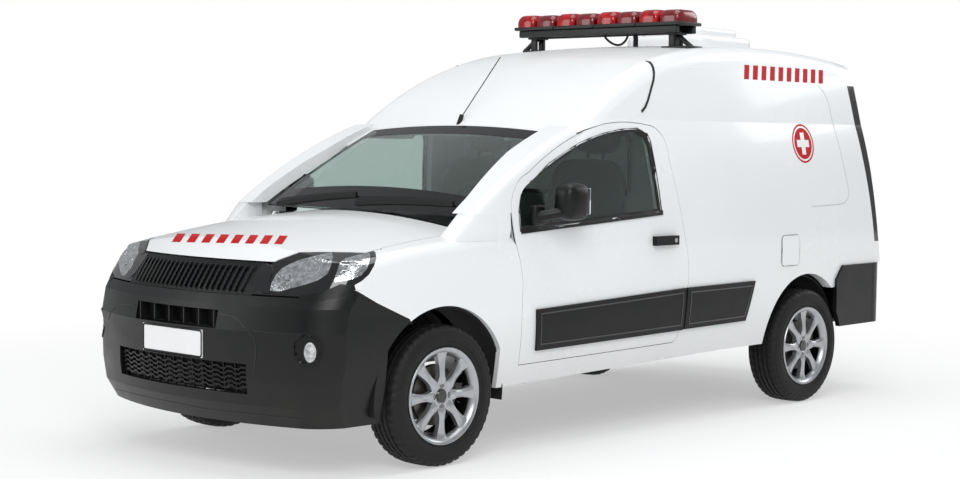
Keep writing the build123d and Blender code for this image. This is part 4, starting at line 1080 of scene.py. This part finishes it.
def pad_mesh(name, low, high, crown, tilt=0.0, pivot=None, channels=0, power=6):
    """A stuffed pad: round corners, crowned faces, sewn channels across its front."""
    low, high = Vector(low), Vector(high)
    size, mid = (high - low) / 2, (high + low) / 2
    work = bmesh.new()
    bmesh.ops.create_cube(work, size=2.0)
    bmesh.ops.subdivide_edges(work, edges=work.edges[:], cuts=15, use_grid_fill=True)
    seam_depth, seam_width = 0.010, 0.05
    for v in work.verts:
        p = v.co.copy()
        soft = Vector([math.copysign(abs(c) ** 0.9, c) for c in p])
        length = (abs(p.x) ** power + abs(p.y) ** power + abs(p.z) ** power) ** (1 / power)
        soft = soft / max(length, 1e-6)
        bx, by, bz = 1 - soft.x ** 2, 1 - soft.y ** 2, 1 - soft.z ** 2
        bulge = Vector([by * bz * soft.x, bx * bz * soft.y, bx * by * soft.z])
        q = Vector([soft[i] * (size[i] - crown) + bulge[i] * crown for i in range(3)])
        if channels:
            phase = (soft.x + 1) / 2 * channels
            near = min(phase % 1, 1 - phase % 1)
            q -= Vector([0, bulge[1], bulge[2]]) * seam_depth * math.exp(-(near / seam_width) ** 2)
        v.co = mid + q
    mesh = bpy.data.meshes.new(name)
    bmesh.ops.recalc_face_normals(work, faces=work.faces)
    work.to_mesh(mesh)
    work.free()
    if tilt:
        about = Vector(pivot)
        mesh.transform(Matrix.Translation(about) @ Matrix.Rotation(tilt, 4, "X") @ Matrix.Translation(-about))
    return mesh


class AMBULANCE_OT_cabin(bpy.types.Operator):
    """Padded seats on their bases, dashboard hood, centre stack and vents, and the bulkhead window's seal"""
    bl_idname = "ambulance.cabin"
    bl_label = "Cabin"

    def execute(self, context):
        for side, x in (("left", 0.37), ("right", -0.37)):
            covers = [
                ("cushion",
                 pad_mesh("cushion", (x - 0.25, -0.56, 0.605), (x + 0.25, -0.06, 0.74), 0.022, channels=3)),
                ("backrest",
                 pad_mesh("backrest", (x - 0.24, -0.115, 0.70), (x + 0.24, 0.005, 1.30), 0.022, -0.17,
                                      (x, -0.06, 0.70), 3)),
                ("headrest", pad_mesh("headrest", (x - 0.13, 0.05, 1.31), (x + 0.13, 0.15, 1.46), 0.015)),
            ]
            for label, mesh in covers:
                obj = piece("seat_%s_%s" % (label, side), mesh, "seat_cloth", "body", 60)
                if (label, side) == ("cushion", "left"):
                    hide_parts("seats")
            base = [bevelled_box("base", (x - 0.20, -0.52, 0.4205), (x + 0.20, -0.12, 0.615), 0.012)]
            base += [tube("stay", [(x + dx, 0.075, 1.27), (x + dx, 0.095, 1.34)], 0.006)
                     for dx in (-0.05, 0.05)]
            piece("seat_base_" + side, joined("base", base), "cabin_plastic", "body", 40)
        hood = pad_mesh("hood", (0.20, -0.93, 0.985), (0.54, -0.745, 1.052), 0.012)
        centre = bevelled_box("centre", (-0.11, -0.80, 0.62), (0.11, -0.735, 0.955), 0.015)
        nozzle = [(0, 0.5), (0, 34), (8, 36), (10, 30), (7, 26), (7, 0.5)]
        vents = []
        for x in (-0.58, -0.07, 0.07, 0.58):
            vent = turned("vent", millimetres(nozzle), 32)
            vent.transform(Matrix.Rotation(math.radians(90), 4, "Z"))
            vents.append(moved(vent, (x, -0.752, 0.925)))
        piece("dashboard_parts", joined("dash", [hood, centre] + vents), "cabin_plastic", "body",
              40)
        window = laid("window", ["bulkhead"], [[rounded_box(-0.42, 0.42, 1.10, 1.42, 0.05),
                                                rounded_box(-0.40, 0.40, 1.12, 1.40, 0.04)]],
                      front_ray, 0.006, 0.2)
        piece("bulkhead_window_seal", window, "seal_rubber", "body", 40)
        return {"FINISHED"}


class AMBULANCE_OT_mirrors(bpy.types.Operator):
    """Tall door mirrors: rounded housings on stout arms, with silvered glass"""
    bl_idname = "ambulance.mirrors"
    bl_label = "Door mirrors"

    def execute(self, context):
        for side, s in (("left", 1), ("right", -1)):
            shell = pad_mesh("shell", (0.860, -0.804, 1.026), (0.984, -0.646, 1.194), 0.010, power=4.5)
            arms = [tube("arm", [(0.826, -0.86, 1.045), (0.862, -0.84, 1.050), (0.905, -0.79, 1.062),
                                 (0.93, -0.74, 1.08)], 0.024, 16),
                    bevelled_box("foot", (0.812, -0.888, 1.005), (0.852, -0.815, 1.095), 0.012)]
            mesh = mirrored(joined("mirror", [shell] + arms), s < 0)
            obj = piece("mirror_housing_" + side, mesh, "grained_polypropylene", "cab_door_" + side,
                        60)
            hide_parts("door_mirror_" + side)
            glass = bevelled_box("glass", (0.888, -0.6535, 1.055), (0.964, -0.6445, 1.170), 0.003, 2)
            piece("mirror_glass_" + side, mirrored(glass, s < 0), "silvered_mirror_glass",
                  "cab_door_" + side, 30)
        return {"FINISHED"}


class AMBULANCE_OT_doors(bpy.types.Operator):
    """Lock barrels of the cab doors, and hinge leaves and handle of the rear doors"""
    bl_idname = "ambulance.doors"
    bl_label = "Door fittings"

    def execute(self, context):
        for side, s in (("left", 1), ("right", -1)):
            lock = laid("lock", ["door_handle_left"], [ring_points(0.128, 0.908, 0.011, 20)], side_ray, 0.002,
                        0.02)
            piece("lock_barrel_" + side, mirrored(lock, s < 0), "silver_lacquered_alloy", "cab_door_" + side,
                  30)
            leaves = [rounded_box(0.560, 0.632, z - 0.022, z + 0.022, 0.008) for z in (0.86, 1.20, 1.54)]
            mesh = laid("hinges", ["rear_door_left"], leaves, rear_ray, 0.010, 0.03)
            piece("rear_hinge_leaves_" + side, mirrored(mesh, s < 0), "white_baked_enamel",
                  "rear_leaf_" + side, 30)
        mesh = laid("rear_handle", ["rear_door_left"], [rounded_box(-0.10, 0.06, 1.00, 1.05, 0.02)], rear_ray,
                    0.022, 0.02)
        piece("rear_handle", mesh, "black_grained_polypropylene", "rear_leaf_left", 40)
        return {"FINISHED"}


class AMBULANCE_OT_corners(bpy.types.Operator):
    """Corners between the windscreen pillars and the fenders, and the front arch liners"""
    bl_idname = "ambulance.corners"
    bl_label = "Scuttle corners and arch liners"

    def execute(self, context):
        # plan outlines of a corner's head and foot in millimetres; the outer points bulge on the way down
        head = [(706, -1217), (764, -1218), (780, -1211), (790, -1198), (797, -1178), (800, -1140),
                (801, -1043), (802, -992), (747, -992), (746, -1079), (745, -1126), (706, -1131)]
        foot = [(706, -1345), (750, -1340), (768, -1325), (780, -1300), (787, -1260), (794, -1180),
                (796, -1043), (797, -992), (706, -992), (706, -1079), (706, -1126), (706, -1131)]
        z_head, height, outer_points = 1063, 117, range(3, 8)
        corners = []
        for s in (1, -1):
            rings = []
            for share, bulge in ((0.0, 0), (0.3, 5), (0.6, 7), (0.85, 4), (1.0, 0)):
                rings.append([((a + share * (c - a) + (bulge if i in outer_points else 0)) / 1000 * s,
                               (b + share * (d - b)) / 1000, (z_head - share * height) / 1000)
                              for i, ((a, b), (c, d)) in enumerate(zip(head, foot))])
            corners.append(lofted("corner", rings))
        piece("scuttle_corners", joined("corners", corners), "white_baked_enamel", "body", 50)
        # each arch has two bands, parted where the strut of the steered knuckle passes
        inner, strut_inner, strut_outer, outer = 0.446, 0.522, 0.588, 0.780
        radius, thick, steps = 0.376, 0.004, 40
        liners = []
        for s in (1, -1):
            for near, far in ((inner, strut_inner), (strut_outer, outer)):
                section = ((near, radius), (far, radius), (far, radius + thick), (near, radius + thick))
                rings = []
                for i in range(steps + 1):
                    a = math.radians(-8 + 196 * i / steps)
                    rings.append([(s * x, FRONT_AXLE - 0.006 + r * math.cos(a), 0.300 + r * math.sin(a))
                                  for x, r in section])
                liners.append(lofted("liner", rings))
        piece("front_arch_liners", joined("liners", liners), "underbody_wax", "body", 40)
        return {"FINISHED"}


class AMBULANCE_OT_stage(bpy.types.Operator):
    """Pale floor, soft light and the camera"""
    bl_idname = "ambulance.stage"
    bl_label = "Stage"

    def execute(self, context):
        scene = context.scene
        reach = 40
        mesh = mesh_of("floor",
                       [(-reach, -reach, 0), (reach, -reach, 0), (reach, reach, 0), (-reach, reach, 0)],
                       [(0, 1, 2, 3)])
        if mesh.polygons[0].normal.z < 0:
            mesh.flip_normals()
        floor = bpy.data.objects.new("studio_floor", mesh)
        scene.collection.objects.link(floor)
        mat = bpy.data.materials.new("pale_studio_floor")
        tree = emptied_tree(mat)
        path = add(tree, "ShaderNodeLightPath").outputs
        seen = add(tree, "ShaderNodeMath", {0: path["Is Camera Ray"], 1: path["Is Glossy Ray"]},
                   operation="MAXIMUM")
        seen = add(tree, "ShaderNodeMath", {0: seen.outputs[0], 1: path["Is Transmission Ray"]},
                   operation="MAXIMUM")
        place = add(tree, "ShaderNodeTexCoord").outputs["Object"]
        away = add(tree, "ShaderNodeVectorMath", {0: place}, operation="LENGTH")
        # the floor glows evenly white past 5.5 m and keeps the shadow under the vehicle
        fade = add(tree, "ShaderNodeMapRange", {"Value": away.outputs["Value"], "From Min": 1.5,
                                                "From Max": 5.5, "To Min": 0.45, "To Max": 1.0},
                   interpolation_type="SMOOTHSTEP")
        share = add(tree, "ShaderNodeMath", {0: seen.outputs[0], 1: fade.outputs["Result"]},
                    operation="MULTIPLY")
        flat = add(tree, "ShaderNodeBsdfDiffuse", {"Color": linear("#f4f4f4")})
        glow = add(tree, "ShaderNodeEmission", {"Color": (1, 1, 1, 1), "Strength": 1.0})
        mix = add(tree, "ShaderNodeMixShader", {0: share.outputs[0], 1: flat.outputs[0], 2: glow.outputs[0]})
        add(tree, "ShaderNodeOutputMaterial", {"Surface": mix.outputs[0]})
        mesh.materials.append(mat)
        world = bpy.data.worlds.new("white_studio")
        scene.world = world
        tree = emptied_tree(world)
        path = add(tree, "ShaderNodeLightPath").outputs
        seen = add(tree, "ShaderNodeMath", {0: path["Is Camera Ray"], 1: path["Is Transmission Ray"]},
                   operation="MAXIMUM")
        dim = add(tree, "ShaderNodeBackground", {"Color": linear("#f2f5f8"), "Strength": 0.42})
        white = add(tree, "ShaderNodeBackground", {"Color": (1, 1, 1, 1), "Strength": 1.0})
        mix = add(tree, "ShaderNodeMixShader", {0: seen.outputs[0], 1: dim.outputs[0], 2: white.outputs[0]})
        add(tree, "ShaderNodeOutputWorld", {"Surface": mix.outputs[0]})
        for name, place, size, power in (("key", (7, -7, 6.5), 5.0, 520), ("fill", (-5, -8, 4), 5.0, 180),
                                         ("top", (0.5, 0, 7.5), 6.0, 260), ("back", (3, 8, 5), 4.0, 160)):
            lamp = bpy.data.lights.new(name, "AREA")
            lamp.shape, lamp.size, lamp.energy = "SQUARE", size, power
            obj = bpy.data.objects.new(name, lamp)
            obj.location = place
            obj.rotation_euler = (Vector((0, 0, 0.8)) - Vector(place)).to_track_quat("-Z", "Y").to_euler()
            scene.collection.objects.link(obj)
        right, up, ahead = view_axes()
        cam = bpy.data.objects.new("camera", bpy.data.cameras.new("camera"))
        cam.matrix_world = Matrix((
            (right.x, up.x, -ahead.x, EYE.x), (right.y, up.y, -ahead.y, EYE.y),
            (right.z, up.z, -ahead.z, EYE.z), (0, 0, 0, 1)))
        cam.data.sensor_width = 36.0
        cam.data.lens = FOCAL_PX / IMAGE[0] * 36.0
        cam.data.shift_x = -CENTRE_PX[0] / IMAGE[0]
        cam.data.shift_y = CENTRE_PX[1] / IMAGE[0]
        cam.data.clip_end = 200
        scene.collection.objects.link(cam)
        scene.camera = cam
        scene.view_settings.view_transform = "Standard"
        return {"FINISHED"}


STEPS = (AMBULANCE_OT_stage, AMBULANCE_OT_finishes, AMBULANCE_OT_tyres, AMBULANCE_OT_rims,
         AMBULANCE_OT_grille, AMBULANCE_OT_lamps, AMBULANCE_OT_lightbar, AMBULANCE_OT_glazing,
         AMBULANCE_OT_seals, AMBULANCE_OT_markings, AMBULANCE_OT_cabin, AMBULANCE_OT_mirrors,
         AMBULANCE_OT_doors, AMBULANCE_OT_corners)


class AMBULANCE_PT_panel(bpy.types.Panel):
    """Lists the sizes and the steps"""
    bl_idname = "AMBULANCE_PT_panel"
    bl_label = "Ambulance"
    bl_space_type = "VIEW_3D"
    bl_region_type = "UI"
    bl_category = "Ambulance"

    def draw(self, context):
        settings = context.scene.ambulance
        for name in ("spokes", "bolts", "grille_bars", "bar_pitch", "tread_depth", "dash_width",
                     "body_colour", "marking_colour"):
            self.layout.prop(settings, name)
        for step in STEPS:
            self.layout.operator(step.bl_idname)


CLASSES = (AmbulanceSettings, *STEPS, AMBULANCE_PT_panel)


def register():
    """Makes the settings, the steps and the panel known."""
    for cls in CLASSES:
        bpy.utils.register_class(cls)
    bpy.types.Scene.ambulance = bpy.props.PointerProperty(type=AmbulanceSettings)


def unregister():
    """Undoes register."""
    del bpy.types.Scene.ambulance
    for cls in reversed(CLASSES):
        bpy.utils.unregister_class(cls)


def main():
    register()
    for step in STEPS:
        group, name = step.bl_idname.split(".")
        getattr(getattr(bpy.ops, group), name)()
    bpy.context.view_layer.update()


if __name__ == "__main__":
    main()
